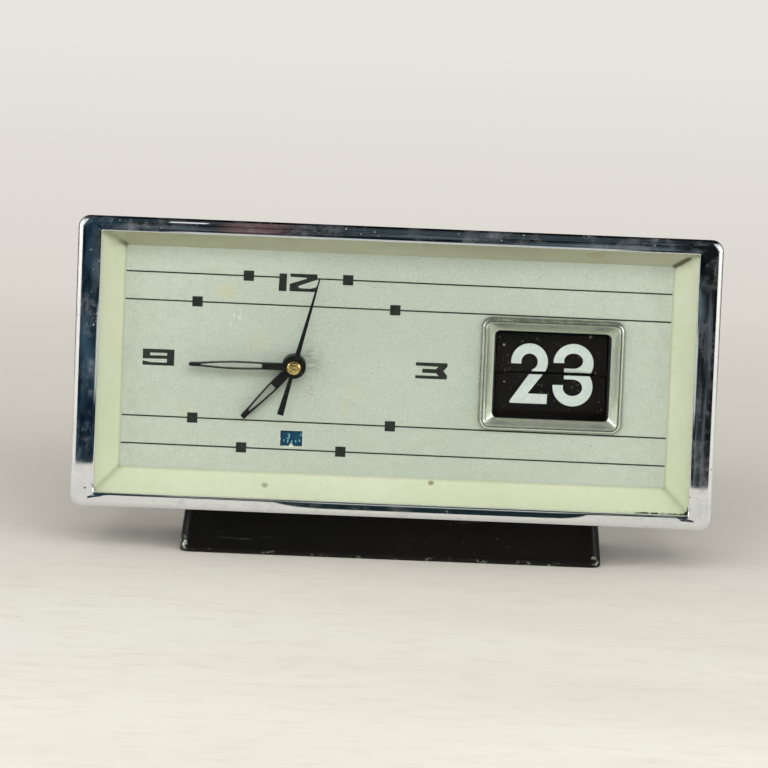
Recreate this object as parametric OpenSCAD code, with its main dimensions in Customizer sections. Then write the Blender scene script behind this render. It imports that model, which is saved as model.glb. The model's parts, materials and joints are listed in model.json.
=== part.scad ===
// Wind-up desk clock with a falling-leaf calendar, in millimetres.
// +Z is up and the dial faces -Y. The origin is on the table, under the middle of the clock.

/* [Bezel and case] */
// Width of the bezel
bezel_w = 185; // [170:1:225]
// Height of the bezel
bezel_h = 85.3; // [80:0.1:104]
// Depth of the bezel
bezel_d = 9; // [8:0.5:10]
// Width of the bezel's bar at the sides
bar_side = 6.85; // [5.5:0.05:8.5]
// Width of the bezel's bar at top and bottom
bar_top = 4.25; // [3.4:0.05:5.2]
// Radius of the bezel's outer corners
bezel_corner = 3.5; // [2.8:0.1:5]
// Radius of the bezel's front edge
bezel_edge = 1.5; // [1:0.1:1.8]
// Thickness of the bezel's front lip
lip_t = 1.4; // [1:0.1:1.6]
// Thickness of the clear pane
glass_t = 1.3; // [1:0.1:1.5]
// Wall of the case
case_wall = 1.8; // [1.5:0.1:2.2]
// How far the case's sides draw in towards the back
case_taper = 7; // [4:0.5:9]
// How far the case's top falls towards the back
case_fall = 8.4; // [7:0.1:9]
// Thickness of the back cover
cover_t = 1.6; // [1.2:0.1:2]

/* [Stand] */
// Height of the bezel's lower edge above the table
stand_h = 14.5; // [11:0.5:18]
// Width of the stand at the table
stand_w = 121; // [100:1:150]
// Depth of the stand at the table
stand_depth = 36; // [30:1:38]
// How far each of the stand's walls leans in
stand_lean = 1.6; // [1:0.1:2.4]
// Thickness of the stand's sheet
stand_wall = 1.4; // [1.1:0.1:1.8]

/* [Dial] */
// Distance from the bezel's front to the dial
dial_depth = 10.8; // [10.2:0.1:11.4]
// Thickness of the dial
dial_t = 1; // [0.8:0.1:1.2]
// Width of the dial that shows
dial_w = 157.3; // [150:0.1:162]
// Height of the dial that shows
dial_h = 65.1; // [60:0.1:68]
// Distance of the hands' axis left of the dial's centre
hand_left = 29.4; // [27:0.1:31]
// Distance of the hands' axis below the dial's centre
hand_low = 0.5; // [0:0.1:1]
// Distance of the alarm disc's axis below the hands' axis
alarm_drop = 14.5; // [13.5:0.1:15.5]
// Width of the alarm window
alarm_win_w = 6.4; // [5:0.1:7.5]
// Height of the alarm window
alarm_win_h = 4.6; // [3.8:0.1:5.2]

/* [Hands] */
// Length of the minute hand
minute_len = 29.7; // [25:0.1:32]
// Length of the hour hand
hour_len = 21.8; // [18:0.1:25]
// Length of the second hand
second_len = 27.5; // [23:0.1:32]
// Length of the second hand's tail
second_tail = 14; // [11:0.1:16]
// Minutes shown
minutes_shown = 44.9; // [0:0.1:60]
// Hours shown
hours_shown = 7.41; // [0:0.01:12]
// Seconds shown
seconds_shown = 2.3; // [0:0.1:60]

/* [Movement] */
// Distance between the dial and the front plate
work_gap = 5.2; // [5:0.1:6]
// Thickness of the plates
plate_t = 1.4; // [1.2:0.1:1.8]
// Distance between the plates
plate_gap = 18; // [17.6:0.1:18.4]
// Distance from the rear plate to the back cover
cover_gap = 6.2; // [6:0.1:7]
// Half the width of the plates
plate_half_w = 40; // [39:0.5:42]
// Half the height of the plates
plate_half_h = 31; // [30:0.5:32]
// Radius of a winding arbor
wind_r = 1.5; // [1.3:0.05:1.8]
// Running clearance of a shaft in its hole
run_gap = 0.05; // [0.03:0.01:0.08]

/* [Calendar] */
// Width of the calendar's window
window_w = 33.4; // [30:0.1:35]
// Height of the calendar's window
window_h = 25.3; // [24.4:0.1:27]
// Width of the frame round the window
frame_bar = 3.4; // [2.8:0.1:4]
// Height of the frame above the dial
frame_rise = 2; // [1.5:0.1:2.4]
// Distance of the calendar's centre right of the hands' axis
calendar_right = 74.2; // [72:0.1:76]
// Distance of the calendar's centre below the dial's centre
calendar_low = 0.9; // [0:0.1:2]
// Height of a leaf
leaf_h = 11.4; // [9.5:0.1:11.5]
// Thickness of a leaf
leaf_t = 0.4; // [0.3:0.05:0.45]
// Distance of the leaves' hinge behind the dial's face
leaf_depth = 3.6; // [3.5:0.1:3.8]
// Radius of the drum that carries the leaves
drum_r = 8.5; // [7.5:0.1:9]
// Travel of the date button
button_travel = 3; // [2:0.1:3.2]

/* [Hidden] */
$fn = 64;

// Depths, measured back from the bezel's front
glass_back = lip_t + glass_t;
dial_back = dial_depth + dial_t;
plate_a = dial_back + work_gap;
train_d = plate_a + plate_t;
plate_b = train_d + plate_gap;
rear_d = plate_b + plate_t;
cover_d = rear_d + cover_gap;
cover_back = cover_d + cover_t;
knob_d = cover_back + 1;
knob_len = 7.4;
key_back = cover_back + 12.4;
total_d = key_back;
front_y = -total_d / 2;

// Places in the face, as [right, up]
face_z = stand_h + bezel_h / 2;
hand_x = -hand_left;
hand_z = face_z - hand_low;
calendar_x = hand_x + calendar_right;
calendar_z = face_z - calendar_low;
open_w = bezel_w - 2 * bar_side;
open_h = bezel_h - 2 * bar_top;
rebate = 1.3;
fit_gap = 0.2;
surround_w = open_w + 2 * rebate - 2 * fit_gap;
surround_h = open_h + 2 * rebate - 2 * fit_gap;
inner_h = open_h + 0.4;
case_x = bezel_w / 2 - 1;
case_low = stand_h + 0.6;
case_high = stand_h + bezel_h - 0.6;
post_x = case_x - case_taper - case_wall - 3.7;
post_low = case_low + case_wall + 3.8;
post_high = case_high - case_fall - case_wall - 3.8;
post_r = 3;
screw_r = 1.25;

// Gears of the motion work, which all lie on lines of the hour wheel's pitch
hour_teeth = 36;
pinion_teeth = 9;
cannon_teeth = 12;
minute_teeth = 36;
day_teeth = 72;
hour_m = alarm_drop / hour_teeth;
work_r = (hour_teeth + pinion_teeth) / 2 * hour_m;
cannon_m = 2 * work_r / (cannon_teeth + minute_teeth);
day_r = (hour_teeth + day_teeth) / 2 * hour_m;
hour_d = dial_back + 1.5;
cannon_d = hour_d + 1.7;
wheel_t = 1;
cannon_t = 1.2;

// Gears of the two trains
fine_m = 0.25;
third_m = 0.3;
great_m = 0.4;
fourth_teeth = 60;
leaf_pinion = 8;
third_teeth = 64;
third_pinion = 10;
great_teeth = 72;
alarm_teeth = 60;
second_r = 0.8;
fourth_d = train_d + 1.2;
third_d = train_d + 4;
great_d = train_d + 7.6;
spring_d = train_d + 11.1;
spring_len = 5;
escape_d = train_d + 7.6;
lever_d = train_d + 9;
balance_d = train_d + 11.6;
hair_d = train_d + 14.1;
pin_d = rear_d + 0.6;
train_t = 1.2;

// A place at a distance and a direction from another
function away(from, dist, dir) = [from.x + dist * cos(dir), from.y + dist * sin(dir)];
hub = [0, 0];
minute_at = [0, work_r];
alarm_at = [0, -alarm_drop];
day_at = [day_r, 0];
third_dir = 200;
great_dir = 215;
escape_dir = 30;
alarm_dir = 60;
third_at = away(hub, (leaf_pinion + third_teeth) / 2 * third_m, third_dir);
great_at = away(third_at, (third_pinion + great_teeth) / 2 * great_m, great_dir);
escape_at = away(hub, (leaf_pinion + fourth_teeth) / 2 * fine_m, escape_dir);
escape_r = 5;
pallet_at = away(escape_at, escape_r + 2.2, escape_dir);
balance_r = 7.5;
balance_at = away(pallet_at, balance_r + 1.5, escape_dir);
ring_at = [22, -14];
fly_at = away(ring_at, (leaf_pinion + alarm_teeth) / 2 * great_m, alarm_dir);
hammer_at = [35, -2];
hammer_len = 18;
stop_at = [-10, 25];
pillar_at = [plate_half_w - 3.5, plate_half_h - 3.5];
corners = [[-1, -1], [1, -1], [1, 1], [-1, 1]];
arbor_r = 0.9;
alarm_r = 1;
thin_r = 0.6;
mid_r = 0.8;
cannon_pipe_r = 1.45;
hour_pipe_r = 2.2;
ratchet_r = 6;
index_len = 12;
index_tab_r = 0.8;
index_swing = 14;

// Depths of the hands
hour_hand_d = dial_depth - 2.8;
minute_hand_d = dial_depth - 4.8;
second_hand_d = dial_depth - 5.8;
hand_t = 0.5;
cap_r = 2;
cap_t = 0.8;

// Calendar
leaf_w = window_w - 1.8;
leaf_pin_r = 0.4;
leaf_gap = 0.08;
low_pin_r = 0.3;
low_pin_d = dial_depth + leaf_depth + leaf_gap + low_pin_r;
split_z = calendar_z;
split_gap = 0.28;
notch_h = 0.7;
lug_w = 3;
pin_in = leaf_w / 2 - 2;
hinge_d = dial_depth + leaf_depth;
cheek_t = 1.2;
cheek_x = leaf_w / 2 + 0.5;
root_r = drum_r + 0.3;
drum_d = hinge_d + 2 * leaf_t + 0.55 + root_r;
drum_z = split_z;
axle_r = 1.2;
days = 31;
date_ratchet_r = 7.6;
date_ratchet_x = calendar_x - cheek_x - cheek_t - 0.4;
date_ratchet_t = 1.2;
button_z = drum_z + 6;
button_r = 1.6;
button_x = calendar_x - cheek_x - cheek_t - 0.3 - button_r;
lever_x = hand_x + plate_half_w + 7;

// Shapes ---------------------------------------------------------------

module slab(d0, d1) {
    translate([0, front_y + d1, 0]) rotate([90, 0, 0]) linear_extrude(d1 - d0) children();
}

module on_hand(p) {
    translate([hand_x + p.x, hand_z + p.y]) children();
}

module on_face() {
    translate([0, face_z]) children();
}

module on_calendar() {
    translate([calendar_x, calendar_z]) children();
}

module rod(p, r, d0, d1) {
    slab(d0, d1) on_hand(p) circle(r);
}

module round_box(w, h, r) {
    hull() for (s = corners) translate([s.x * (w / 2 - r), s.y * (h / 2 - r)]) circle(r, $fn = 32);
}

module soft_rect(w, h, r) {
    square([w - 2 * r, h], center = true);
    square([w, h - 2 * r], center = true);
    for (s = corners) translate([s.x * (w / 2 - r), s.y * (h / 2 - r)]) circle(r);
}

function gear_points(n, m, phase) = [
    for (i = [0:n - 1], p = [[-0.62, -1.1], [-0.26, 0.7], [0.26, 0.7], [0.62, -1.1]])
    let (r = (n / 2 + p[1]) * m, a = phase + (i + p[0] / 2) * 360 / n) [r * cos(a), r * sin(a)]];

function ratchet_points(n, outer, inner) = [for (i = [0:n - 1], p = [0, 1])
    let (r = p == 0 ? outer : inner, a = (i + p * 0.15) * 360 / n) [r * cos(a), r * sin(a)]];

function spiral_points(r0, r1, turns, steps, t) =
    let (n = turns * steps) concat(
        [for (i = [0:n]) polar(r0 + (r1 - r0) * i / n, i * 360 / steps)],
        [for (i = [n:-1:0]) polar(r0 + t + (r1 - r0) * i / n, i * 360 / steps)]);

function polar(r, a) = [r * cos(a), r * sin(a)];

module gear(n, m, phase) {
    polygon(gear_points(n, m, phase));
}

// A wheel with its crossings cut out, leaving a rim, a hub and spokes
module crossed(n, m, phase, hub_r, spokes) {
    rim_in = n * m / 2 - 2.4 * m - 0.5;
    difference() {
        gear(n, m, phase);
        difference() {
            circle(rim_in);
            circle(hub_r);
            for (i = [0:spokes - 1]) rotate(i * 360 / spokes) translate([0, -0.6]) square([rim_in, 1.2]);
        }
    }
}

// Gear on the leading side of a mesh, a tooth on the line of centres
function tooth_on(dir) = dir;
// Gear on the other side, a gap on the line of centres
function gap_on(dir, n) = dir + 180 + 180 / n;

// Case -----------------------------------------------------------------

module case_shell() {
    color("dimgray") difference() {
        hull() {
            case_section(0, bezel_d, 0);
            case_section(0, cover_d - 0.2, 1);
        }
        hull() {
            case_section(case_wall, bezel_d - 0.1, 0);
            case_section(case_wall, cover_d + 0.1, 1);
        }
        for (s = [-1, 1]) translate([s * stand_screw_x, stand_screw_y, case_low - 1])
            cylinder(r = screw_r, h = 4);
    }
}

// One upright section of the tapered case: part 0 is its front, part 1 its back
module case_section(inset, d, part) {
    x = case_x - part * case_taper - inset;
    high = case_high - part * case_fall - inset;
    low = case_low + inset;
    corner = max(0.6, bezel_corner - 1 - inset);
    slab(d, d + 0.2) translate([0, (high + low) / 2]) round_box(2 * x, high - low, corner);
}

module bezel() {
    color("silver") difference() {
        hull() for (a = [0:22.5:90])
            slab(bezel_edge * (1 - sin(a)), bezel_edge * (1 - sin(a)) + 0.1)
                on_face() round_box(bezel_w - 2 * bezel_edge * (1 - cos(a)),
                    bezel_h - 2 * bezel_edge * (1 - cos(a)), bezel_corner);
        slab(-1, bezel_edge + 2) on_face() square([open_w, open_h], center = true);
        slab(lip_t, bezel_edge + 2) on_face()
            square([open_w + 2 * rebate, open_h + 2 * rebate], center = true);
    }
    color("silver") slab(bezel_edge + 0.1, bezel_d) on_face() difference() {
        soft_rect(bezel_w, bezel_h, bezel_corner);
        square([open_w + 2 * rebate, open_h + 2 * rebate], center = true);
    }
}

module front_glass() {
    color("white", 0.3) slab(lip_t, glass_back) on_face()
        square([surround_w, surround_h], center = true);
}

module dial_surround() {
    color("ivory") difference() {
        union() {
            slab(glass_back, bezel_d) on_face() square([surround_w, surround_h], center = true);
            slab(bezel_d, dial_depth) on_face() square([surround_w, inner_h], center = true);
        }
        hull() {
            slab(glass_back - 0.02, glass_back - 0.01) on_face() square([open_w, open_h], center = true);
            slab(dial_depth, dial_depth + 0.01) on_face() square([dial_w, dial_h], center = true);
        }
    }
}

module dial_plate() {
    color("gainsboro") slab(dial_depth, dial_back) difference() {
        on_face() square([surround_w, inner_h], center = true);
        on_hand(hub) circle(hour_pipe_r + run_gap);
        on_hand([0, -22]) difference() {
            square([alarm_win_w, alarm_win_h], center = true);
            translate([0, -alarm_win_h / 2]) polygon([[-0.8, -0.1], [0.8, -0.1], [0, 1]]);
        }
        on_calendar() soft_rect(window_w + 2.6, window_h + 2.6, 3);
    }
}

module calendar_frame() {
    outer_w = window_w + 2 * frame_bar;
    outer_h = window_h + 2 * frame_bar;
    top = dial_depth - frame_rise;
    color("silver") difference() {
        union() {
            hull() {
                slab(top, top + 0.1) on_calendar() round_box(outer_w - 1.4, outer_h - 1.4, 1.9);
                slab(top + 0.7, dial_depth) on_calendar() round_box(outer_w, outer_h, 2.6);
            }
            slab(dial_depth, dial_back) on_calendar() soft_rect(window_w + 2.2, window_h + 2.2, 2.8);
        }
        hull() {
            slab(top - 0.2, top - 0.1) on_calendar() round_box(outer_w - 2.2, outer_h - 2.2, 2);
            slab(dial_depth + 0.3, dial_depth + 0.4) on_calendar() round_box(window_w, window_h, 1.8);
        }
        slab(dial_depth + 0.3, dial_back + 1) on_calendar() soft_rect(window_w, window_h, 1.8);
    }
}

module back_cover() {
    x = case_x - case_taper;
    high = case_high - case_fall;
    color("dimgray") slab(cover_d, cover_back) difference() {
        translate([0, (high + case_low) / 2]) soft_rect(2 * x, high - case_low, bezel_corner - 1);
        for (p = [[minute_at, arbor_r], [alarm_at, alarm_r], [great_at, wind_r], [ring_at, wind_r],
            [stop_at, button_r]])
            on_hand(p[0]) circle(p[1] + run_gap);
        translate([button_x, button_z]) circle(button_r + run_gap);
        for (x = [-post_x, post_x], z = [post_low, post_high]) translate([x, z]) circle(screw_r + 0.2);
        on_hand(balance_at) for (a = [-index_swing:index_swing / 4:index_swing])
            rotate(a) translate([0, index_len]) circle(index_tab_r + 0.4);
        for (i = [-2:2]) on_hand([hammer_at.x + 14 + i * 3, 14]) soft_rect(1.4, 8, 0.6);
    }
}

stand_screw_x = stand_w / 2 - 18;
stand_front = front_y + bezel_d + 1;
stand_y = stand_front + stand_depth / 2;
stand_screw_y = stand_y;

// A slice of the stand's outline, drawn in by inset, between two heights
module stand_slice(inset, z0, z1) {
    translate([0, stand_y, z0]) linear_extrude(z1 - z0)
        round_box(stand_w - 2 * inset, stand_depth - 2 * inset, 2.5);
}

module stand() {
    color("black") difference() {
        union() {
            hull() {
                stand_slice(0.6, 0, 0.1);
                stand_slice(0.1, 0.4, 0.5);
                stand_slice(0, 1.2, 1.3);
            }
            hull() {
                stand_slice(0, 1.25, 1.35);
                stand_slice(stand_lean, case_low - 0.1, case_low);
            }
        }
        hull() {
            stand_slice(stand_wall + 0.6, -0.1, 0);
            stand_slice(stand_wall + stand_lean, case_low - stand_wall - 0.1, case_low - stand_wall);
        }
        for (s = [-1, 1]) translate([s * stand_screw_x, stand_screw_y, case_low - 3])
            cylinder(r = screw_r + 0.2, h = 4);
    }
}

module stand_screws() {
    color("silver") for (s = [-1, 1]) translate([s * stand_screw_x, stand_screw_y, 0]) {
        translate([0, 0, case_low - stand_wall - 1.4]) cylinder(r = 2.6, h = 1.4);
        translate([0, 0, case_low - stand_wall - 0.2])
            cylinder(r = screw_r - run_gap, h = stand_wall + case_wall + 1.2);
    }
}

module case_posts() {
    color("darkgray") for (x = [-post_x, post_x], z = [post_low, post_high]) difference() {
        slab(dial_back, cover_d) translate([x, z]) circle(post_r);
        slab(cover_d - 8, cover_d + 1) translate([x, z]) circle(screw_r);
    }
}

module back_screws() {
    color("silver") for (x = [-post_x, post_x], z = [post_low, post_high]) difference() {
        union() {
            slab(cover_back, cover_back + 1.3) translate([x, z]) circle(2.6);
            slab(cover_d - 6, cover_back) translate([x, z]) circle(screw_r - run_gap);
        }
        slab(cover_back + 0.7, cover_back + 2) translate([x, z]) rotate(x > 0 ? 35 : -20)
            square([6, 0.7], center = true);
    }
}

// Movement frame ---------------------------------------------------------

// Every shaft that a plate carries, as [place, radius]
plate_shafts = [[hub, second_r], [minute_at, arbor_r], [alarm_at, alarm_r], [third_at, thin_r],
    [great_at, wind_r], [escape_at, thin_r], [pallet_at, thin_r], [balance_at, thin_r],
    [ring_at, wind_r], [fly_at, thin_r], [hammer_at, mid_r]];

module plate_outline() {
    difference() {
        on_hand(hub) soft_rect(2 * plate_half_w, 2 * plate_half_h, 4);
        for (p = plate_shafts) on_hand(p[0]) circle(p[1] + run_gap);
    }
}

module dial_feet() {
    color("goldenrod") for (s = corners)
        rod([s.x * pillar_at.x, s.y * pillar_at.y], 2, dial_back, plate_a);
}

module front_plate() {
    color("goldenrod") slab(plate_a, train_d) difference() {
        plate_outline();
        on_hand(day_at) circle(mid_r + run_gap);
        on_hand([0, 22]) soft_rect(34, 9, 3);
    }
}

module rear_plate() {
    color("goldenrod") slab(plate_b, rear_d) difference() {
        plate_outline();
        for (s = corners) on_hand([s.x * pillar_at.x, s.y * pillar_at.y]) circle(1.2 + run_gap);
        on_hand([-20, 14]) soft_rect(20, 16, 5);
    }
}

module plate_pillars() {
    color("silver") for (s = corners) {
        rod([s.x * pillar_at.x, s.y * pillar_at.y], 2.2, train_d, plate_b);
        rod([s.x * pillar_at.x, s.y * pillar_at.y], 1.2, plate_b - 0.2, rear_d + 2.4);
    }
}

module pillar_nuts() {
    color("gold") slab(rear_d, rear_d + 1.8) for (s = corners)
        on_hand([s.x * pillar_at.x, s.y * pillar_at.y]) difference() {
            circle(2.6, $fn = 6);
            circle(1.2 + run_gap);
        }
}

// Hands and motion work ----------------------------------------------------

// A skeleton hand on its collet: its outline, the slot in it, and the pipe that it is pressed on
module hand(depth, turn, outline, slot, disc_r, collet_r, collet_d, pipe_r) {
    difference() {
        union() {
            slab(depth, depth + hand_t) on_hand(hub) rotate(-turn) difference() {
                union() {
                    circle(disc_r);
                    polygon(outline);
                }
                polygon(slot);
            }
            rod(hub, collet_r, depth + hand_t / 2, depth + collet_d);
        }
        rod(hub, pipe_r + run_gap, depth - 1, depth + collet_d + 1);
    }
}

module minute_hand() {
    tip = minute_len;
    outline = [[-1, 2], [-0.85, 7], [-1.05, 9.2], [-1.15, 15], [-0.5, tip - 4.6], [-0.45, tip - 0.4],
        [0, tip], [0.45, tip - 0.4], [0.5, tip - 4.6], [1.15, 15], [1.05, 9.2], [0.85, 7], [1, 2]];
    slot = [[-0.75, 10], [-0.8, 15], [-0.18, tip - 5], [0.18, tip - 5], [0.8, 15], [0.75, 10]];
    color("black") hand(minute_hand_d, minutes_shown * 6, outline, slot, 3.3, 2.7, 1.5, cannon_pipe_r);
}

module ring(outer, inner) {
    difference() {
        circle(outer);
        circle(inner);
    }
}

module hour_hand() {
    tip = hour_len;
    outline = [[-1.3, 2.4], [-1.5, 6.6], [-1.45, 8.6], [-0.65, tip - 2.2], [-0.55, tip - 0.4],
        [0, tip], [0.55, tip - 0.4], [0.65, tip - 2.2], [1.45, 8.6], [1.5, 6.6], [1.3, 2.4]];
    slot = [[-1, 7.8], [-1, 9], [-0.22, tip - 2.4], [0.22, tip - 2.4], [1, 9], [1, 7.8]];
    color("black") hand(hour_hand_d, hours_shown * 30, outline, slot, 3.6, 3.1, 1.6, hour_pipe_r);
}

module second_hand() {
    color("black") slab(second_hand_d, second_hand_d + 0.3) on_hand(hub) rotate(-seconds_shown * 6) {
        circle(1.9);
        polygon([[-0.22, second_len], [0.22, second_len], [0.6, 0], [0.78, -second_tail],
            [-0.78, -second_tail], [-0.6, 0]]);
    }
}

module hand_cap() {
    color("gold") translate([hand_x, front_y + second_hand_d, hand_z]) rotate([90, 0, 0]) rotate_extrude()
        polygon([[0, 0], [cap_r, 0], [cap_r, 0.3], [cap_r - 0.4, cap_t], [0.7, cap_t],
            [0.5, cap_t - 0.4], [0, cap_t - 0.4]]);
}

module cannon_pinion() {
    color("goldenrod") {
        slab(minute_hand_d, cannon_d + cannon_t) on_hand(hub) ring(cannon_pipe_r, second_r + run_gap);
        slab(cannon_d, cannon_d + cannon_t) on_hand(hub) difference() {
            gear(cannon_teeth, cannon_m, tooth_on(90));
            circle(second_r + run_gap);
        }
    }
}

module hour_wheel() {
    color("goldenrod") {
        slab(hour_hand_d, hour_d + wheel_t) on_hand(hub) ring(hour_pipe_r, cannon_pipe_r + run_gap);
        slab(hour_d, hour_d + wheel_t) on_hand(hub) difference() {
            crossed(hour_teeth, hour_m, tooth_on(90), 3.2, 4);
            circle(cannon_pipe_r + run_gap);
        }
    }
}

module minute_wheel() {
    color("goldenrod") {
        rod(minute_at, arbor_r, hour_d - 0.9, knob_d + knob_len - 2);
        slab(cannon_d, cannon_d + cannon_t) on_hand(minute_at)
            crossed(minute_teeth, cannon_m, gap_on(90, minute_teeth), 2.4, 4);
        slab(hour_d - 0.2, cannon_d) on_hand(minute_at)
            gear(pinion_teeth, hour_m, gap_on(90, pinion_teeth));
    }
}

module time_set_knob() {
    color("gold") knob_body(minute_at, arbor_r);
}

module alarm_set_knob() {
    color("gold") knob_body(alarm_at, alarm_r);
}

// A fluted knob, blind-bored for a shaft of radius r
module knob_body(p, r) {
    difference() {
        slab(knob_d, knob_d + knob_len) on_hand(p) {
            circle(4.8);
            for (i = [0:17]) rotate(i * 20) translate([4.8, 0]) circle(0.45);
        }
        slab(knob_d - 1, knob_d + knob_len - 2) on_hand(p) circle(r);
    }
}

module alarm_wheel() {
    color("goldenrod") slab(hour_d, hour_d + wheel_t) on_hand(alarm_at) difference() {
        crossed(hour_teeth, hour_m, gap_on(-90, hour_teeth), 3, 4);
        circle(alarm_r + run_gap);
    }
}

module alarm_disc() {
    color("steelblue") {
        slab(dial_back + 0.4, dial_back + 0.9) on_hand(alarm_at) circle(10.2);
        rod(alarm_at, alarm_r, dial_back + 0.4, knob_d + knob_len - 2);
    }
}

module date_drive_wheel() {
    color("goldenrod") {
        slab(hour_d, hour_d + wheel_t) on_hand(day_at)
            crossed(day_teeth, hour_m, gap_on(0, day_teeth), 3.5, 5);
        rod(day_at, 1.2, dial_back + 0.3, plate_a - 0.3);
        rod(day_at, mid_r, plate_a - 0.4, train_d);
        rod(away(day_at, day_teeth * hour_m / 2 - 1, 150), 0.45, hour_d + 0.1, hour_d + 2.4);
    }
}

// Going train ---------------------------------------------------------------

module second_arbor() {
    color("silver") {
        rod(hub, second_r, second_hand_d + 0.3, rear_d);
        slab(fourth_d, fourth_d + train_t) on_hand(hub)
            crossed(fourth_teeth, fine_m, tooth_on(escape_dir), 2, 4);
        slab(third_d - 0.4, third_d + train_t + 0.4) on_hand(hub)
            gear(leaf_pinion, third_m, tooth_on(third_dir));
    }
}

module third_wheel() {
    color("goldenrod") {
        rod(third_at, thin_r, plate_a, rear_d);
        slab(third_d, third_d + train_t) on_hand(third_at)
            crossed(third_teeth, third_m, gap_on(third_dir, third_teeth), 2.2, 4);
        slab(great_d - 0.4, great_d + train_t + 0.4) on_hand(third_at)
            gear(third_pinion, great_m, tooth_on(great_dir));
    }
}

module great_wheel() {
    color("goldenrod") slab(great_d, great_d + train_t) on_hand(great_at) difference() {
        crossed(great_teeth, great_m, gap_on(great_dir, great_teeth), 4, 5);
        circle(wind_r + run_gap);
    }
}

module escape_wheel() {
    color("goldenrod") {
        rod(escape_at, thin_r, plate_a, rear_d);
        slab(fourth_d - 0.4, fourth_d + train_t + 0.4) on_hand(escape_at)
            gear(leaf_pinion, fine_m, gap_on(escape_dir, leaf_pinion));
        slab(escape_d, escape_d + 0.8) on_hand(escape_at) club_wheel(escape_r, 15);
    }
}

// An escape wheel with leaning teeth and three spokes
module club_wheel(r, n) {
    difference() {
        polygon(ratchet_points(n, r, r - 1));
        difference() {
            circle(r - 1.7);
            circle(1.4);
            for (i = [0:2]) rotate(i * 120) translate([0, -0.4]) square([r - 1.5, 0.8]);
        }
    }
}

module pallet_fork() {
    color("silver") {
        rod(pallet_at, thin_r, plate_a, rear_d);
        slab(lever_d, lever_d + 0.8) on_hand(pallet_at) rotate(escape_dir) {
            circle(1.2);
            translate([0, -0.45]) square([5.8, 0.9]);
            polygon([[5.6, -0.45], [7.4, -1.1], [7.4, -0.5], [6.6, 0],
                [7.4, 0.5], [7.4, 1.1], [5.6, 0.45]]);
            polygon([[-0.5, -0.9], [-2, -3.9], [-1.2, -4.2], [0.6, -0.9]]);
            polygon([[-0.5, 0.9], [-2, 3.9], [-1.2, 4.2], [0.6, 0.9]]);
        }
        slab(escape_d, lever_d + 0.1) on_hand(pallet_at) rotate(escape_dir)
            for (s = [-1, 1]) translate([-1.5, s * 3.8]) circle(0.25);
    }
}

module balance_wheel() {
    color("gold") {
        rod(balance_at, thin_r, plate_a, rear_d);
        slab(balance_d, balance_d + 1.1) on_hand(balance_at) {
            ring(balance_r, balance_r - 1.3);
            difference() {
                translate([-balance_r + 1, -0.6]) square([2 * balance_r - 2, 1.2]);
                circle(0.2);
            }
            circle(1.5);
        }
        slab(lever_d + 1.2, balance_d) on_hand(balance_at) circle(1);
    }
}

module balance_spring() {
    color("steelblue") slab(hair_d, hair_d + 0.8) on_hand(balance_at) {
        polygon(spiral_points(0.95, 4.6, 4, 16, 0.15));
        translate([4.65, -0.3]) square([0.9, 0.9]);
    }
    color("steelblue") slab(hair_d, plate_b) on_hand(balance_at) translate([5.2, 0.15]) circle(0.5);
}

module regulator_lever() {
    color("silver") {
        slab(rear_d, rear_d + 0.7) on_hand(balance_at) {
            ring(2.6, thin_r + 0.2);
            difference() {
                translate([-0.7, 1]) square([1.4, index_len - 1]);
                circle(2);
            }
        }
        slab(rear_d, cover_back + 1) on_hand(away(balance_at, index_len, 90)) circle(index_tab_r);
    }
}

// A mainspring: an open coil, hooked to its arbor inside and to a pillar outside
module mainspring(p, r) {
    slab(spring_d, spring_d + spring_len) on_hand(p) polygon(spiral_points(wind_r + 0.3, r, 6, 20, 0.45));
}

module time_mainspring() {
    color("slategray") mainspring(great_at, 12.6);
}

module alarm_mainspring() {
    color("slategray") mainspring(ring_at, 10.6);
}

// A winding arbor with its square seat for the key and its ratchet wheel
module winder(p) {
    rod(p, wind_r, plate_a, knob_d + 4);
    slab(pin_d, pin_d + 1.2) on_hand(p) polygon(ratchet_points(24, ratchet_r, ratchet_r - 0.8));
}

module winding_arbor() {
    color("silver") winder(great_at);
}

module alarm_winding_arbor() {
    color("silver") winder(ring_at);
}

// A folded wing key: a socket and a flat bow with two lobes
module wing_key(p) {
    difference() {
        slab(knob_d, knob_d + 4.4) on_hand(p) circle(3);
        slab(knob_d - 1, knob_d + 4) on_hand(p) circle(wind_r);
    }
    translate([hand_x + p.x, front_y, hand_z + p.y - 0.9]) linear_extrude(1.8) difference() {
        union() {
            translate([-3, knob_d + 4.4]) square([6, 2.5]);
            for (s = [-1, 1]) translate([s * 5, key_back - 3.6]) circle(3.6);
            translate([-5, key_back - 6.2]) square([10, 4.4]);
        }
        for (s = [-1, 1]) translate([s * 5.2, key_back - 3.6]) circle(1.4);
    }
}

module time_key() {
    color("gold") wing_key(great_at);
}

module alarm_key() {
    color("gold") wing_key(ring_at);
}

function click_pivot(p, side) = [p.x + side * 2.6, p.y + ratchet_r + 3.2];

// A click: a pivoted finger that stops the ratchet running back
module click(p, side) {
    slab(pin_d, pin_d + 1.2) on_hand(click_pivot(p, side)) mirror([side < 0 ? 1 : 0, 0]) difference() {
        union() {
            circle(1.7);
            polygon([[-0.3, 1.6], [-4.3, -2.2], [-4.8, -3], [-1.4, -0.9]]);
        }
        circle(mid_r + run_gap);
    }
}

module time_click() {
    color("silver") click(great_at, -1);
}

module alarm_click() {
    color("silver") click(ring_at, 1);
}

// Alarm train -----------------------------------------------------------------

module alarm_great_wheel() {
    color("goldenrod") slab(great_d, great_d + train_t) on_hand(ring_at) difference() {
        crossed(alarm_teeth, great_m, tooth_on(alarm_dir), 4, 5);
        circle(wind_r + run_gap);
    }
}

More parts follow.
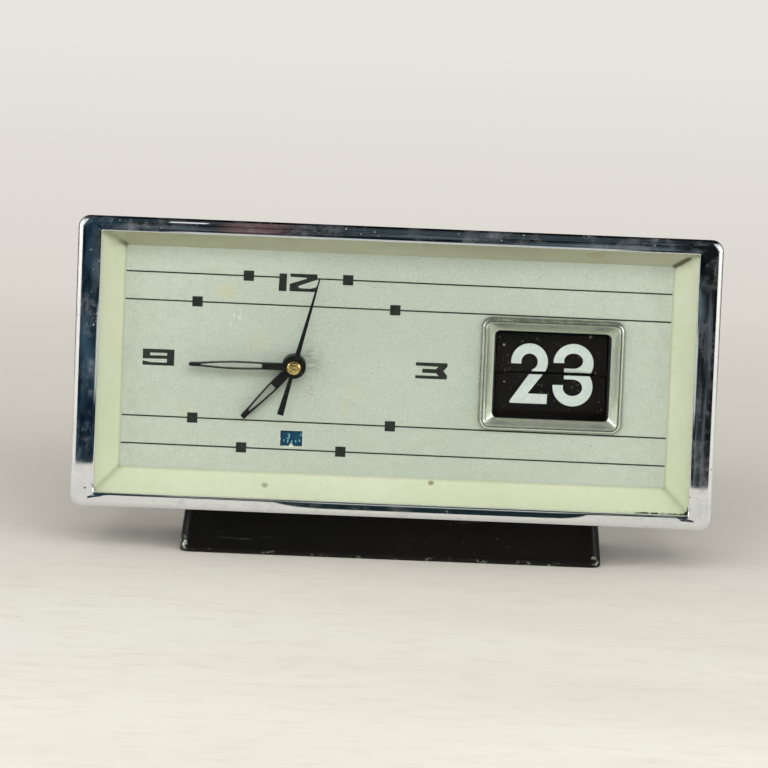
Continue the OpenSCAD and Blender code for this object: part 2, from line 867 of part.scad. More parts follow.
module alarm_escape_wheel() {
    color("goldenrod") {
        rod(fly_at, thin_r, plate_a, rear_d);
        slab(great_d - 0.4, great_d + train_t + 0.4) on_hand(fly_at)
            gear(leaf_pinion, great_m, gap_on(alarm_dir, leaf_pinion));
        slab(fourth_d, fourth_d + 1) on_hand(fly_at) club_wheel(4.4, 12);
    }
}

module alarm_hammer() {
    color("silver") {
        rod(hammer_at, mid_r, plate_a, rear_d + 2.4);
        slab(rear_d + 0.8, rear_d + 2) on_hand(hammer_at) {
            circle(1.8);
            polygon([[-0.8, 0], [0.3, hammer_len], [1.7, hammer_len], [0.8, 0]]);
        }
        slab(rear_d + 0.6, rear_d + 4.2) on_hand(hammer_at) translate([1, hammer_len]) circle(2);
    }
}

module sounding_post() {
    color("silver") slab(rear_d + 0.8, cover_d)
        on_hand(hammer_at) translate([1 - 4.7, hammer_len]) circle(2);
}

module alarm_stop_button() {
    color("gold") {
        rod(stop_at, button_r, rear_d + button_travel + 0.6, cover_back + 5);
        rod(stop_at, 2.8, cover_back + button_travel + 0.6, cover_back + button_travel + 3.6);
    }
}

// Calendar ----------------------------------------------------------------------

// A rod along the calendar's width at depth d and height z, from x0 to x1
module cross_rod(d, z, r, x0, x1) {
    translate([calendar_x + x0, front_y + d, z]) rotate([0, 90, 0]) cylinder(r = r, h = x1 - x0);
}

module calendar_bracket() {
    color("dimgray") difference() {
        for (s = [-1, 1]) translate([calendar_x + s * (cheek_x + cheek_t / 2), 0, 0]) {
            translate([-cheek_t / 2, front_y + dial_back, split_z - 13])
                cube([cheek_t, drum_d + 10 - dial_back, 26]);
            translate([min(0, s * 5), front_y + dial_back, split_z + 9]) cube([5, 1, 4]);
            translate([min(0, s * 5), front_y + dial_back, split_z - 13]) cube([5, 1, 4]);
        }
        cross_rod(drum_d, drum_z, axle_r + run_gap, -30, 30);
        cross_rod(hinge_d, split_z, leaf_pin_r + run_gap, -30, 30);
        cross_rod(low_pin_d, split_z - 1.2, low_pin_r + run_gap, -30, 30);
    }
}

module upper_leaf() {
    color("black") {
        translate([calendar_x - leaf_w / 2, front_y + hinge_d, split_z + split_gap])
            cube([leaf_w, leaf_t, leaf_h - split_gap]);
        for (x = [-leaf_w / 2, leaf_w / 2 - lug_w]) translate([calendar_x + x, front_y + hinge_d, split_z])
            cube([lug_w, leaf_t, split_gap + 0.1]);
        for (x = [-cheek_x - 1, pin_in])
            cross_rod(hinge_d, split_z, leaf_pin_r, x, x + cheek_x + 1 - pin_in);
    }
}

module lower_leaf() {
    color("black") {
        translate([calendar_x - leaf_w / 2, front_y + hinge_d + leaf_gap, split_z - leaf_h])
            cube([leaf_w, leaf_t, leaf_h - notch_h]);
        translate([calendar_x - pin_in + 0.4, front_y + hinge_d + leaf_gap, split_z - notch_h - 0.1])
            cube([2 * pin_in - 0.8, leaf_t, notch_h + 0.1 - split_gap]);
        cross_rod(low_pin_d, split_z - 1.2, low_pin_r, -cheek_x - 1, cheek_x + 1);
    }
}

// The other leaves, each lying back on the drum from its own slot in the rim
module leaf_pack() {
    slot = 360 / days;
    color("black") for (i = [1:days - 1]) {
        turn = i * slot;
        lie = turn <= 180 ? turn + 80 : 270 - 6 * (360 - turn) / 180;
        translate([calendar_x - leaf_w / 2, front_y + drum_d, drum_z])
            rotate([-turn, 0, 0]) translate([0, -root_r, 0]) rotate([turn - lie + 90, 0, 0])
                translate([0, -leaf_t / 2, 0]) leaf_sheet();
    }
}

module leaf_sheet() {
    cube([leaf_w, leaf_t, leaf_h - 0.4]);
}

module date_drum() {
    rim_x = leaf_w / 2 - 2.5;
    color("ivory") {
        cross_rod(drum_d, drum_z, axle_r, -cheek_x - cheek_t - 2.6, cheek_x + cheek_t + 0.8);
        cross_rod(drum_d, drum_z, 3, -leaf_w / 2, leaf_w / 2);
        for (x = [-rim_x, rim_x]) cross_rod(drum_d, drum_z, drum_r, x - 0.6, x + 0.6);
        translate([date_ratchet_x, front_y + drum_d, drum_z]) rotate([0, -90, 0])
            linear_extrude(date_ratchet_t)
                polygon(ratchet_points(days, date_ratchet_r, date_ratchet_r - 0.7));
    }
}

module date_jumper() {
    x = date_ratchet_x - date_ratchet_t;
    color("silver") {
        translate([x + 0.2, front_y + drum_d - 0.6, drum_z - 13])
            cube([0.8, 1.2, 13 - date_ratchet_r - 0.3]);
        translate([x + 0.2, front_y + drum_d - 0.6, drum_z - 13]) cube([date_ratchet_t + 0.2, 1.2, 2]);
    }
}

module date_button() {
    color("gold") {
        slab(drum_d + 9, cover_back + 6) translate([button_x, button_z]) circle(button_r);
        slab(cover_back + button_travel + 0.4, cover_back + button_travel + 3.6)
            translate([button_x, button_z]) circle(2.8);
    }
}

module pivot_posts() {
    color("silver") {
        for (p = [click_pivot(great_at, -1), click_pivot(ring_at, 1)]) {
            rod(p, 1.6, rear_d, pin_d - 0.05);
            rod(p, mid_r, pin_d - 0.1, pin_d + 1.6);
        }
        slab(dial_back, hour_d - 0.1) translate([lever_x, hand_z]) circle(1.6);
        slab(hour_d - 0.2, hour_d + 1.4) translate([lever_x, hand_z]) circle(0.9);
    }
}

module date_lever() {
    color("silver") slab(hour_d, hour_d + 1) translate([lever_x, hand_z]) difference() {
        union() {
            circle(2);
            polygon([[0, -1.3], [date_ratchet_x - lever_x, -0.7], [date_ratchet_x - lever_x, 0.9], [0, 1.3],
                [-9.6, 0.6], [-9.6, -0.6]]);
        }
        circle(0.9 + run_gap);
    }
}

case_shell();
bezel();
front_glass();
dial_surround();
dial_plate();
calendar_frame();
back_cover();
stand();
case_posts();
back_screws();
stand_screws();
dial_feet();
front_plate();
rear_plate();
plate_pillars();
pillar_nuts();
calendar_bracket();
lower_leaf();
leaf_pack();
date_jumper();
pivot_posts();
balance_spring();
time_mainspring();
alarm_mainspring();
sounding_post();
minute_hand();
cannon_pinion();
hour_hand();
hour_wheel();
minute_wheel();
time_set_knob();
alarm_wheel();
alarm_disc();
alarm_set_knob();
date_drive_wheel();
second_hand();
hand_cap();
second_arbor();
third_wheel();
escape_wheel();
great_wheel();
pallet_fork();
balance_wheel();
regulator_lever();
winding_arbor();
time_key();
time_click();
alarm_great_wheel();
alarm_escape_wheel();
alarm_hammer();
alarm_winding_arbor();
alarm_key();
alarm_click();
alarm_stop_button();
date_drum();
upper_leaf();
date_button();
date_lever();
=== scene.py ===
import json
import math
from functools import reduce
from types import SimpleNamespace

import bmesh
import bpy
from mathutils import Matrix, Vector
from mathutils.geometry import tessellate_polygon


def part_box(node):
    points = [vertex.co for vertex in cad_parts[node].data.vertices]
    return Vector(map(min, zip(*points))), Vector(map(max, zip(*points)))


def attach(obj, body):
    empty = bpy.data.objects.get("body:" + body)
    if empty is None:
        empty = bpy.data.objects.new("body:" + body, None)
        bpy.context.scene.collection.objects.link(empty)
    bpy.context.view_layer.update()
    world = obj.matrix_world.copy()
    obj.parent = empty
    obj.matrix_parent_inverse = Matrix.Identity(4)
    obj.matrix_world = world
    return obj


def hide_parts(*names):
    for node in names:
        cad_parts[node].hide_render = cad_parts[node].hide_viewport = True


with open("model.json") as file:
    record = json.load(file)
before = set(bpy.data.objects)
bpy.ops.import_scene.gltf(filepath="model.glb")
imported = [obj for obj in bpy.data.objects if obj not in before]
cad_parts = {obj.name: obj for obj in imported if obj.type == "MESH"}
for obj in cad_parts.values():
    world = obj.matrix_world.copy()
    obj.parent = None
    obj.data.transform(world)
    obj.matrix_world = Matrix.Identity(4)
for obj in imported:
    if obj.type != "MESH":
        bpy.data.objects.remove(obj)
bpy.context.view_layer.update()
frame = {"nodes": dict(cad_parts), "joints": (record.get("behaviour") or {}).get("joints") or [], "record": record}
nodes = frame["nodes"]
joints = {joint["name"]: joint for joint in frame["joints"]}
mm = 0.001
axisRadius = 0.0001  # where a turned profile starts and ends, in millimetres
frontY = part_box("bezel")[0].y


def place(x, depth, z):
    # millimetres to metres; depth runs back from the bezel's front
    return Vector((x * mm, frontY + depth * mm, z * mm))


def extent(node):
    # a node's low and high x, depth and z, in millimetres
    low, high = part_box(node)
    return (low.x / mm, high.x / mm), ((low.y - frontY) / mm, (high.y - frontY) / mm), (low.z / mm, high.z / mm)


def middle(pair):
    return (pair[0] + pair[1]) / 2


def pivot(joint):
    x, y, z = joints[joint]["pos_m"]
    return x / mm, (y - frontY) / mm, z / mm


# places read from the frame
bezelX, bezelDepth, bezelZ = extent("bezel")
halfW, halfH, faceZ = bezelX[1], (bezelZ[1] - bezelZ[0]) / 2, middle(bezelZ)
handX, _, handZ = pivot("minute_turn")
_, hingeDepth, splitZ = pivot("leaf_fall")
discX, _, discZ = pivot("alarm_set_turn")
dialDepth, lowerDepth, discDepth = (extent(node)[1][0] for node in ("dial_plate", "lower_leaf", "alarm_disc"))
coverBack = extent("back_cover")[1][1]
calendarX, calendarZ = middle(extent("calendar_frame")[0]), middle(extent("calendar_frame")[2])

# sizes that a piece and its finish share: the sloping wall and the rim round the calendar
wallSizes = {"openW": 85.65, "openH": 38.4, "dialW": 78.65, "dialH": 32.55, "flangeW": 86.75, "flangeH": 39.5,
             "front": 2.7, "flangeBack": 9.0, "bow": 0.22}
rimSizes = {"outerW": 20.5, "outerH": 16.4, "windowW": 16.85, "windowH": 12.9, "rise": 2.0, "corner": 2.9,
            "windowCorner": 1.6, "aside": 0.12, "up": 0.2, "windowUp": -0.2}


# mesh makers


def addObject(name, data):
    thing = bpy.data.objects.new(name, data)
    bpy.context.scene.collection.objects.link(thing)
    return thing


def shownMesh(thing):
    # the object's mesh with its modifiers worked in
    return bpy.data.meshes.new_from_object(thing.evaluated_get(bpy.context.evaluated_depsgraph_get()))


def reshape(mesh, change):
    work = bmesh.new()
    work.from_mesh(mesh)
    change(work)
    bmesh.ops.recalc_face_normals(work, faces=work.faces)
    work.to_mesh(mesh)
    work.free()


def closeHoles(work):
    bmesh.ops.holes_fill(work, edges=[edge for edge in work.edges if edge.is_boundary])


def finishPiece(name, mesh, material, angle=35):
    reshape(mesh, lambda work: bmesh.ops.remove_doubles(work, verts=work.verts, dist=1e-7))
    for face in mesh.polygons:
        face.use_smooth = angle > 0
    if angle > 0:
        mesh.set_sharp_from_angle(angle=math.radians(angle))
    mesh.materials.clear()
    mesh.materials.append(material)
    return addObject(name, mesh)


def meshPiece(name, verts, faces, material, angle=35):
    mesh = bpy.data.meshes.new(name)
    mesh.from_pydata([tuple(v) for v in verts], [], faces)
    mesh.validate()
    return finishPiece(name, mesh, material, angle)


def bandFaces(rows, count, closed=False):
    # the faces between one ring of points and the next
    faces = []
    for row in range(rows if closed else rows - 1):
        a, b = row * count, (row + 1) % rows * count
        faces += [(a + k, a + (k + 1) % count, b + (k + 1) % count, b + k) for k in range(count)]
    return faces


def roundRing(halfW, halfH, radius, steps=8, split=0):
    # a rounded rectangle, always of as many points; split adds points on the straights
    r = max(min(radius, halfW, halfH), 0.001)
    corners = []
    for sx, sz, start in ((1, 1, 0), (-1, 1, 90), (-1, -1, 180), (1, -1, 270)):
        turns = [math.radians(start + 90 * i / steps) for i in range(steps + 1)]
        corners.append([(sx * (halfW - r) + r * math.cos(a), sz * (halfH - r) + r * math.sin(a)) for a in turns])
    ring = []
    for k, corner in enumerate(corners):
        (x0, z0), (x1, z1) = corner[-1], corners[(k + 1) % 4][0]
        along = [i / (split + 1) for i in range(1, split + 1)]
        ring += corner + [(x0 + (x1 - x0) * t, z0 + (z1 - z0) * t) for t in along]
    return ring


def loftRings(name, rings, material, upright=True, steps=8, angle=35, split=0):
    # rings: centre x, centre z or y, half width, half height, corner radius, depth or height
    verts = []
    for cx, cz, halfX, halfZ, radius, far in rings:
        for u, v in roundRing(halfX, halfZ, radius, steps, split):
            flat = Vector(((cx + u) * mm, (cz + v) * mm, far * mm))
            verts.append(place(cx + u, far, cz + v) if upright else flat)
    return meshPiece(name, verts, bandFaces(len(rings), 4 * (steps + 1 + split), True), material, angle)


def rollRings(centre, half, radius, depth, roll, start, count):
    # rings round a quarter roll, from the start angle to 90, which faces the front
    rings = []
    for i in range(count + 1):
        a = math.radians(start + (90 - start) * i / count)
        inset, far = roll * (1 - math.cos(a)), depth + roll * (1 - math.sin(a))
        rings.append((*centre, half[0] - inset, half[1] - inset, radius - inset * 0.5, far))
    return rings


def prism(name, shapes, near, far, material, at=(0, 0), turn=0):
    # flat shapes, each an outline with any holes after it, drawn in millimetres on the face
    verts, faces = [], []
    c, s = math.cos(turn), math.sin(turn)
    for loops in shapes:
        base = len(verts)
        flat = [Vector((x * c - z * s + at[0], 0, x * s + z * c + at[1])) for loop in loops for x, z in loop]
        size = len(flat)
        verts += [place(p.x, depth, p.z) for depth in (near, far) for p in flat]
        for tri in tessellate_polygon([[Vector((x, z, 0)) for x, z in loop] for loop in loops]):
            faces += [tuple(base + i for i in tri), tuple(base + size + i for i in reversed(tri))]
        for loop in loops:
            count = len(loop)
            ends = [(base + i, base + (i + 1) % count) for i in range(count)]
            faces += [(a, b, b + size, a + size) for a, b in ends]
            base += count
    return meshPiece(name, verts, faces, material, 30)


def cutPiece(piece, point, normal):
    # keeps the side that the normal points to, and closes the cut
    def cut(work):
        parts = work.verts[:] + work.edges[:] + work.faces[:]
        bmesh.ops.bisect_plane(work, geom=parts, plane_co=point, plane_no=normal, clear_inner=True)
        closeHoles(work)
    reshape(piece.data, cut)
    return piece


def lathe(name, profile, centre, material, steps=48, angle=40):
    # profile: radius and depth pairs, turned about an axis that runs straight back
    (x, z), turns = centre, [2 * math.pi * i / steps for i in range(steps)]
    verts = [place(x + r * math.cos(a), depth, z + r * math.sin(a)) for r, depth in profile for a in turns]
    return meshPiece(name, verts, bandFaces(len(profile), steps), material, angle)


# geometry node trees


def addNode(tree, kind, values=(), **settings):
    node = tree.nodes.new(kind)
    for key, value in settings.items():
        setattr(node, key, value)
    for key, value in dict(values).items():
        if isinstance(value, bpy.types.NodeSocket):
            tree.links.new(value, node.inputs[key])
        else:
            node.inputs[key].default_value = value
    return node


def made(tree, kind, values):
    return addNode(tree, "GeometryNode" + kind, values).outputs[0]


def newTree(name, inputs):
    tree = bpy.data.node_groups.new(name, "GeometryNodeTree")
    for label, kind in {"Geometry": "Geometry", **inputs, "Finish": "Material"}.items():
        tree.interface.new_socket(label, in_out="INPUT", socket_type="NodeSocket" + kind)
    tree.interface.new_socket("Geometry", in_out="OUTPUT", socket_type="NodeSocketGeometry")
    return tree, tree.nodes.new("NodeGroupInput").outputs


def endTree(tree, given, part, **fit):
    # a copy of the part on every point, made real and given its finish
    points = made(tree, "MeshToPoints", {0: given["Geometry"]})
    copies = made(tree, "InstanceOnPoints", {"Points": points, "Instance": part, **fit})
    real = made(tree, "RealizeInstances", {0: copies})
    finish = made(tree, "SetMaterial", {"Geometry": real, "Material": given["Finish"]})
    tree.links.new(finish, tree.nodes.new("NodeGroupOutput").inputs[0])
    return tree


def pointNumber(tree, name, kind="FLOAT"):
    return addNode(tree, "GeometryNodeInputNamedAttribute", {"Name": name}, data_type=kind).outputs[0]


def pointTurn(tree):
    return addNode(tree, "ShaderNodeCombineXYZ", {"Y": pointNumber(tree, "turn")}).outputs[0]


def blockTree():
    # a block on each point, sized and turned by the point's own numbers: lines, squares, ticks
    tree, given = newTree("blocks_on_points", {"Thickness": "Float"})
    size = addNode(tree, "ShaderNodeSeparateXYZ", {0: pointNumber(tree, "size", "FLOAT_VECTOR")}).outputs
    scale = addNode(tree, "ShaderNodeCombineXYZ", {"X": size["X"], "Y": given["Thickness"], "Z": size["Z"]}).outputs[0]
    return endTree(tree, given, made(tree, "MeshCube", {"Size": (1, 1, 1)}), Rotation=pointTurn(tree), Scale=scale)


def fluteTree():
    # flutes set evenly round a knob's rim, each a thin rod
    inputs = {"Count": "Int", "Rim Radius": "Float", "Flute Radius": "Float", "Length": "Float"}
    tree, given = newTree("flutes_round_rim", inputs)
    ring = made(tree, "MeshCircle", {"Vertices": given["Count"], "Radius": given["Rim Radius"]})
    rod = made(tree, "MeshCylinder", {"Vertices": 10, "Radius": given["Flute Radius"], "Depth": given["Length"]})
    laid = [made(tree, "Transform", {"Geometry": shape, "Rotation": (math.pi / 2, 0, 0)}) for shape in (ring, rod)]
    return endTree(tree, given, made(tree, "InstanceOnPoints", {"Points": laid[0], "Instance": laid[1]}))


def copyTree():
    # a copy of one small part on each point, turned by the point's own number
    tree, given = newTree("copies_on_points", {"Part": "Object"})
    part = addNode(tree, "GeometryNodeObjectInfo", {"Object": given["Part"]}).outputs["Geometry"]
    return endTree(tree, given, part, Rotation=pointTurn(tree))


def pointMesh(name, points, **numbers):
    # loose points, with a number or vector of each name at each of them
    mesh = bpy.data.meshes.new(name)
    mesh.from_pydata([tuple(p) for p in points], [], [])
    for key, values in numbers.items():
        kind, slot = ("FLOAT_VECTOR", "vector") if isinstance(values[0], tuple) else ("FLOAT", "value")
        attribute = mesh.attributes.new(key, kind, "POINT")
        for i, value in enumerate(values):
            setattr(attribute.data[i], slot, value)
    return mesh


def bakeTree(name, tree, mesh, values, angle=35):
    carrier = addObject(name + "_carrier", mesh)
    modifier = carrier.modifiers.new("tree", "NODES")
    modifier.node_group = tree
    for item in tree.interface.items_tree:
        if item.item_type == "SOCKET" and item.in_out == "INPUT" and item.name in values:
            modifier[item.identifier] = values[item.name]
    baked = shownMesh(carrier)
    carrier.modifiers.clear()
    bpy.data.objects.remove(carrier)
    return finishPiece(name, baked, values["Finish"], angle)


blocks, flutes, copiesTree = blockTree(), fluteTree(), copyTree()
print("node trees built")


# finishes: look holds the nodes of the finish being made, and its colour so far

look = SimpleNamespace()


def useTree(tree, coordinates="Object"):
    tree.nodes.clear()
    look.tree, look.where = tree, tree.nodes.new("ShaderNodeTexCoord").outputs[coordinates]


def startLook(name, tones={}):
    # tones: colours that tint and coat may call by name
    look.tones, look.material = tones, bpy.data.materials.new(name)
    look.material.use_nodes = True
    useTree(look.material.node_tree)


def shade(kind, values=(), out=0, **settings):
    return addNode(look.tree, "ShaderNode" + kind, values, **settings).outputs[out]


def linear(colour):
    # 0 to 255 as seen on screen; a colour of four numbers is linear already
    def one(c):
        return c / 255 / 12.92 if c / 255 <= 0.04045 else ((c / 255 + 0.055) / 1.055) ** 2.4
    return colour if len(colour) == 4 else (*(one(c) for c in colour), 1)


def mathNode(operation, *values):
    return shade("Math", enumerate(values), operation=operation)


def vectorNode(operation, *values):
    return shade("VectorMath", enumerate(values), "Value" if operation == "LENGTH" else "Vector", operation=operation)


def product(*values):
    return reduce(lambda a, b: mathNode("MULTIPLY", a, b), values)


def larger(*values):
    return reduce(lambda a, b: mathNode("MAXIMUM", a, b), values)


def absolute(value):
    return mathNode("ABSOLUTE", value)


def axisOf(axis, where=None):
    return shade("SeparateXYZ", {0: where or look.where}, axis)


def between(value, low, high, toLow=0, toHigh=1):
    return shade("MapRange", {0: value, 1: low, 2: high, 3: toLow, 4: toHigh})


def grain(scale, detail=3, stretch=(1, 1, 1), shift=(0, 0, 0), rough=0.55):
    moved = shade("Mapping", {"Vector": look.where, "Scale": stretch, "Location": shift})
    return shade("TexNoise", {"Vector": moved, "Scale": scale, "Detail": detail, "Roughness": rough})


def cloud(scale, detail, low, high, toLow=0, toHigh=1, **more):
    # grain, cut to the stretch between low and high
    return between(grain(scale, detail, **more), low, high, toLow, toHigh)


def specks(scale, size, shift=(0, 0, 0)):
    # 1 inside small scattered specks, 0 elsewhere
    moved = shade("Mapping", {"Vector": look.where, "Location": shift})
    return between(shade("TexVoronoi", {"Vector": moved, "Scale": scale}, "Distance"), size, size * 0.6)


def spot(centre, radius, soft=0.5, squash=(1, 1, 1)):
    # 1 at a place, fading to 0 at the radius
    off = vectorNode("MULTIPLY", vectorNode("SUBTRACT", look.where, tuple(centre)), squash)
    return between(vectorNode("LENGTH", off), radius * mm, radius * mm * (1 - soft))


def rimDistance():
    # how far outside the calendar rim's outline a point of the face lies, in millimetres
    z = rimSizes
    centre = ((calendarX + z["aside"]) * mm, 0, (calendarZ + z["up"]) * mm)
    folded = vectorNode("ABSOLUTE", vectorNode("SUBTRACT", look.where, centre))
    scaled = vectorNode("MULTIPLY", folded, (1 / mm, 0, 1 / mm))
    past = vectorNode("SUBTRACT", scaled, (z["outerW"] - z["corner"], 0, z["outerH"] - z["corner"]))
    corner = vectorNode("LENGTH", vectorNode("MAXIMUM", past, (0, 0, 0)))
    inside = mathNode("MINIMUM", larger(axisOf(0, past), axisOf(2, past)), 0.0)
    return mathNode("SUBTRACT", mathNode("ADD", corner, inside), z["corner"])


def tint(amount, a, b):
    a, b = (end if isinstance(end, bpy.types.NodeSocket) else linear(look.tones.get(end, end)) for end in (a, b))
    return shade("Mix", {0: amount, 6: a, 7: b}, 2, data_type="RGBA")


def coat(amount, colour, strength=1):
    # lays a colour over what is there
    look.colour = tint(amount if strength == 1 else product(amount, strength), look.colour, colour)


def surface(bump=None, strength=1.0, stretch=(1, 1, 1), **values):
    # a shader with the colour so far; bump: the grain's scale and detail, and its depth in millimetres
    inputs = {"Base Color": look.colour}
    for key, value in values.items():
        inputs["Specular IOR Level" if key == "specular" else key.capitalize()] = value
    if bump:
        height = grain(bump[0], bump[1], stretch)
        inputs["Normal"] = shade("Bump", {"Height": height, "Distance": bump[2] * mm, "Strength": strength})
    return shade("BsdfPrincipled", inputs)


def close(result):
    look.tree.links.new(result, look.tree.nodes.new("ShaderNodeOutputMaterial").inputs[0])
    return look.material


def metalFinish(name, light, dark, scale, rough, bump, grime, grimeAt=0.62):
    # turned or rolled metal: tone, faint brushing and a little tarnish
    startLook(name)
    look.colour = tint(cloud(scale, 4, 0.3, 0.7), light, dark)
    coat(cloud(scale * 0.22, 5, grimeAt, grimeAt + 0.16, shift=(0.3, 0.1, 0.7)), grime)
    dull = cloud(scale * 2.3, 3, 0.25, 0.75, *rough)
    return close(surface((scale * 6, 2, bump), roughness=dull, metallic=1.0))


def paintFinish(name, base, other, scale, rough, bump, specular=0.5):
    startLook(name)
    look.colour = tint(cloud(scale, 4, 0.3, 0.7), base, other)
    coat(product(specks(420, 0.09), cloud(35, 3, 0.5, 0.7)), (150, 150, 140))
    dull = cloud(scale * 3, 3, 0.3, 0.7, *rough)
    return close(surface((900, 2, bump), roughness=dull, specular=specular))


chromeSizes = {"polish": 0.04, "smudge": 0.16, "pitScale": 250, "ripple": 0.006, "clean": (230, 233, 236),
               "film": (168, 178, 186), "pit": (60, 56, 50), "filmMetal": 0.72}


def chromeFinish():
    z = chromeSizes
    startLook("polished_chrome", z)
    alongTop = grain(320, 5, stretch=(0.35, 1, 1.4), rough=0.7)
    alongSide = grain(320, 5, stretch=(1.5, 1, 0.4), rough=0.7, shift=(2, 0, 1))
    onSide = between(absolute(axisOf(0)), 0.084, 0.087)
    streak = shade("Mix", {0: onSide, 2: alongTop, 3: alongSide}, data_type="FLOAT")
    film = product(cloud(85, 6, 0.5, 0.76, rough=0.75), between(streak, 0.36, 0.66))
    film = larger(film, product(between(streak, 0.62, 0.74), 0.4))
    pits = product(specks(z["pitScale"], 0.09), cloud(22, 3, 0.5, 0.58))
    bright = product(specks(420, 0.13, (0.2, 0.4, 0.1)), cloud(60, 3, 0.5, 0.6, shift=(4, 0, 2)))
    look.colour = tint(film, "clean", "film")
    coat(pits, "pit")
    metal = between(larger(film, bright), 0, 1, 1, z["filmMetal"])
    dull = larger(between(film, 0, 1, z["polish"], z["smudge"]), product(pits, 0.5))
    return close(surface((160, 2, z["ripple"]), 0.9, metallic=metal, roughness=dull))


surroundColours = {"paint": (216, 221, 197), "shade": (207, 214, 184), "mottle": (196, 204, 168),
                   "soot": (150, 146, 120), "fleck": (120, 112, 78), "mitre": (118, 126, 88), "stain": (62, 36, 16),
                   "grime": (70, 74, 48), "edge": (36, 38, 28), "deep": (128, 136, 100)}
# marks on the wall: x, depth, height off the middle, radius, softness, squash, strength, colour
wallMarks = [(-36.5, 7.0, -36.0, 1.3, 0.5, (1, 1, 1), 0.75, (128, 130, 104)),
             (11.4, 9.4, -33.6, 1.1, 0.5, (1, 1, 1), 0.75, (120, 104, 70)),
             (56.0, 6.5, 35.8, 2.6, 0.3, (0.8, 1, 1), 0.35, (176, 150, 96))]


def mitreFrame(side, up):
    # along and off a mitre of the sloping wall, in millimetres from the dial's corner
    z = wallSizes
    run, rise = z["openW"] - z["dialW"], z["openH"] - z["dialH"]
    run, rise = run / math.hypot(run, rise), rise / math.hypot(run, rise)
    across = mathNode("MULTIPLY_ADD", axisOf(0), side / mm, -z["dialW"])
    high = mathNode("MULTIPLY_ADD", axisOf(2), up / mm, -z["dialH"] - up * faceZ)
    along = mathNode("ADD", product(across, run), product(high, rise))
    return along, absolute(mathNode("SUBTRACT", product(across, rise), product(high, run)))


def surroundFinish():
    startLook("cream_green_paint", surroundColours)
    x, depth, height = (axisOf(axis) for axis in (0, 1, 2))
    across = absolute(x)
    look.colour = tint(cloud(28, 4, 0.35, 0.65), "paint", "shade")
    coat(cloud(340, 5, 0.42, 0.68, 0, 0.3, rough=0.75), "mottle")
    # the top wall faces down and is painted darker: painted shade, with a brownish tint of soot
    above = between(height, (faceZ + 32.4) * mm, (faceZ + 33.2) * mm)
    soot = cloud(36, 5, 0.3, 0.7, 0.25, 0.6, stretch=(0.5, 1, 1))
    coat(product(above, between(across, 0.085, 0.0775), soot), "soot")
    coat(product(specks(330, 0.06), cloud(30, 3, 0.52, 0.64, shift=(2, 0, 0))), "fleck")
    ragged = cloud(620, 5, 0.3, 0.7, rough=0.7)
    for side, up in ((-1, 1), (1, 1), (-1, -1), (1, -1)):  # painted shade along each mitre, where two walls meet
        along, off = mitreFrame(side, up)
        near = product(between(along, 3.2, -0.6, 0, 0.55), between(off, 1.1, 0.2))
        band = larger(between(off, 1.3, 0.1, 0, 0.36), near)
        coat(product(band, between(along, -0.8, 0.1)), "mitre")
        if (side, up) == (1, 1):  # the brown stain
            reach = product(between(along, -1.0, 0.2), between(along, 7.2, 4.6))
            stain = product(between(off, 1.0, 0.3), reach, between(ragged, 0, 1, 0.55, 1.2))
            coat(between(stain, 0.3, 0.6), "stain", 0.75)
        if (side, up) == (-1, 1):
            reach = product(between(along, -1.2, 0), between(along, 3.4, 0.8))
            dark = product(between(off, 1.0, 0.3), reach, between(ragged, 0, 1, 0.4, 1))
            coat(dark, "grime", 0.8)
    for x0, back, up, radius, soft, squash, strength, colour in wallMarks:
        coat(spot(place(x0, back, faceZ + up), radius, soft, squash), colour, strength)
    # the dark gap at the front edge, low on the right
    gap = product(between(depth, frontY + 3.3 * mm, frontY + 2.75 * mm), between(across, 0.062, 0.072),
                  between(height, 0.022, 0.0205), between(x, 0.0, 0.02), ragged)
    coat(between(gap, 0.2, 0.5), "edge")
    # painted shade: the wall is darker towards its back, where it meets the dial
    coat(between(depth, frontY + 9.9 * mm, frontY + 10.9 * mm, 0, 0.5), "deep")
    dull = cloud(160, 3, 0.3, 0.7, 0.42, 0.56)
    return close(surface((1100, 3, 0.006), roughness=dull, specular=0.35))


dialColours = {"tone": (185, 196, 182), "shade": (174, 185, 171), "pale": (203, 213, 199), "mottle": (164, 176, 160),
               "fine": (215, 223, 208), "blot": (196, 197, 166), "rub": (88, 98, 84), "rust": (150, 112, 88),
               "scrape": (226, 232, 220), "fleck": (96, 102, 84), "side": (120, 116, 92), "rim": (84, 88, 72)}
# pale old stains: x, z, radius
dialBlots = [(-14.5, 44.2, 2.6), (-12.0, 49.0, 3.4), (-40.0, 62.5, 4.0), (24.0, 43.0, 3.0), (-60, 41, 3.6)]


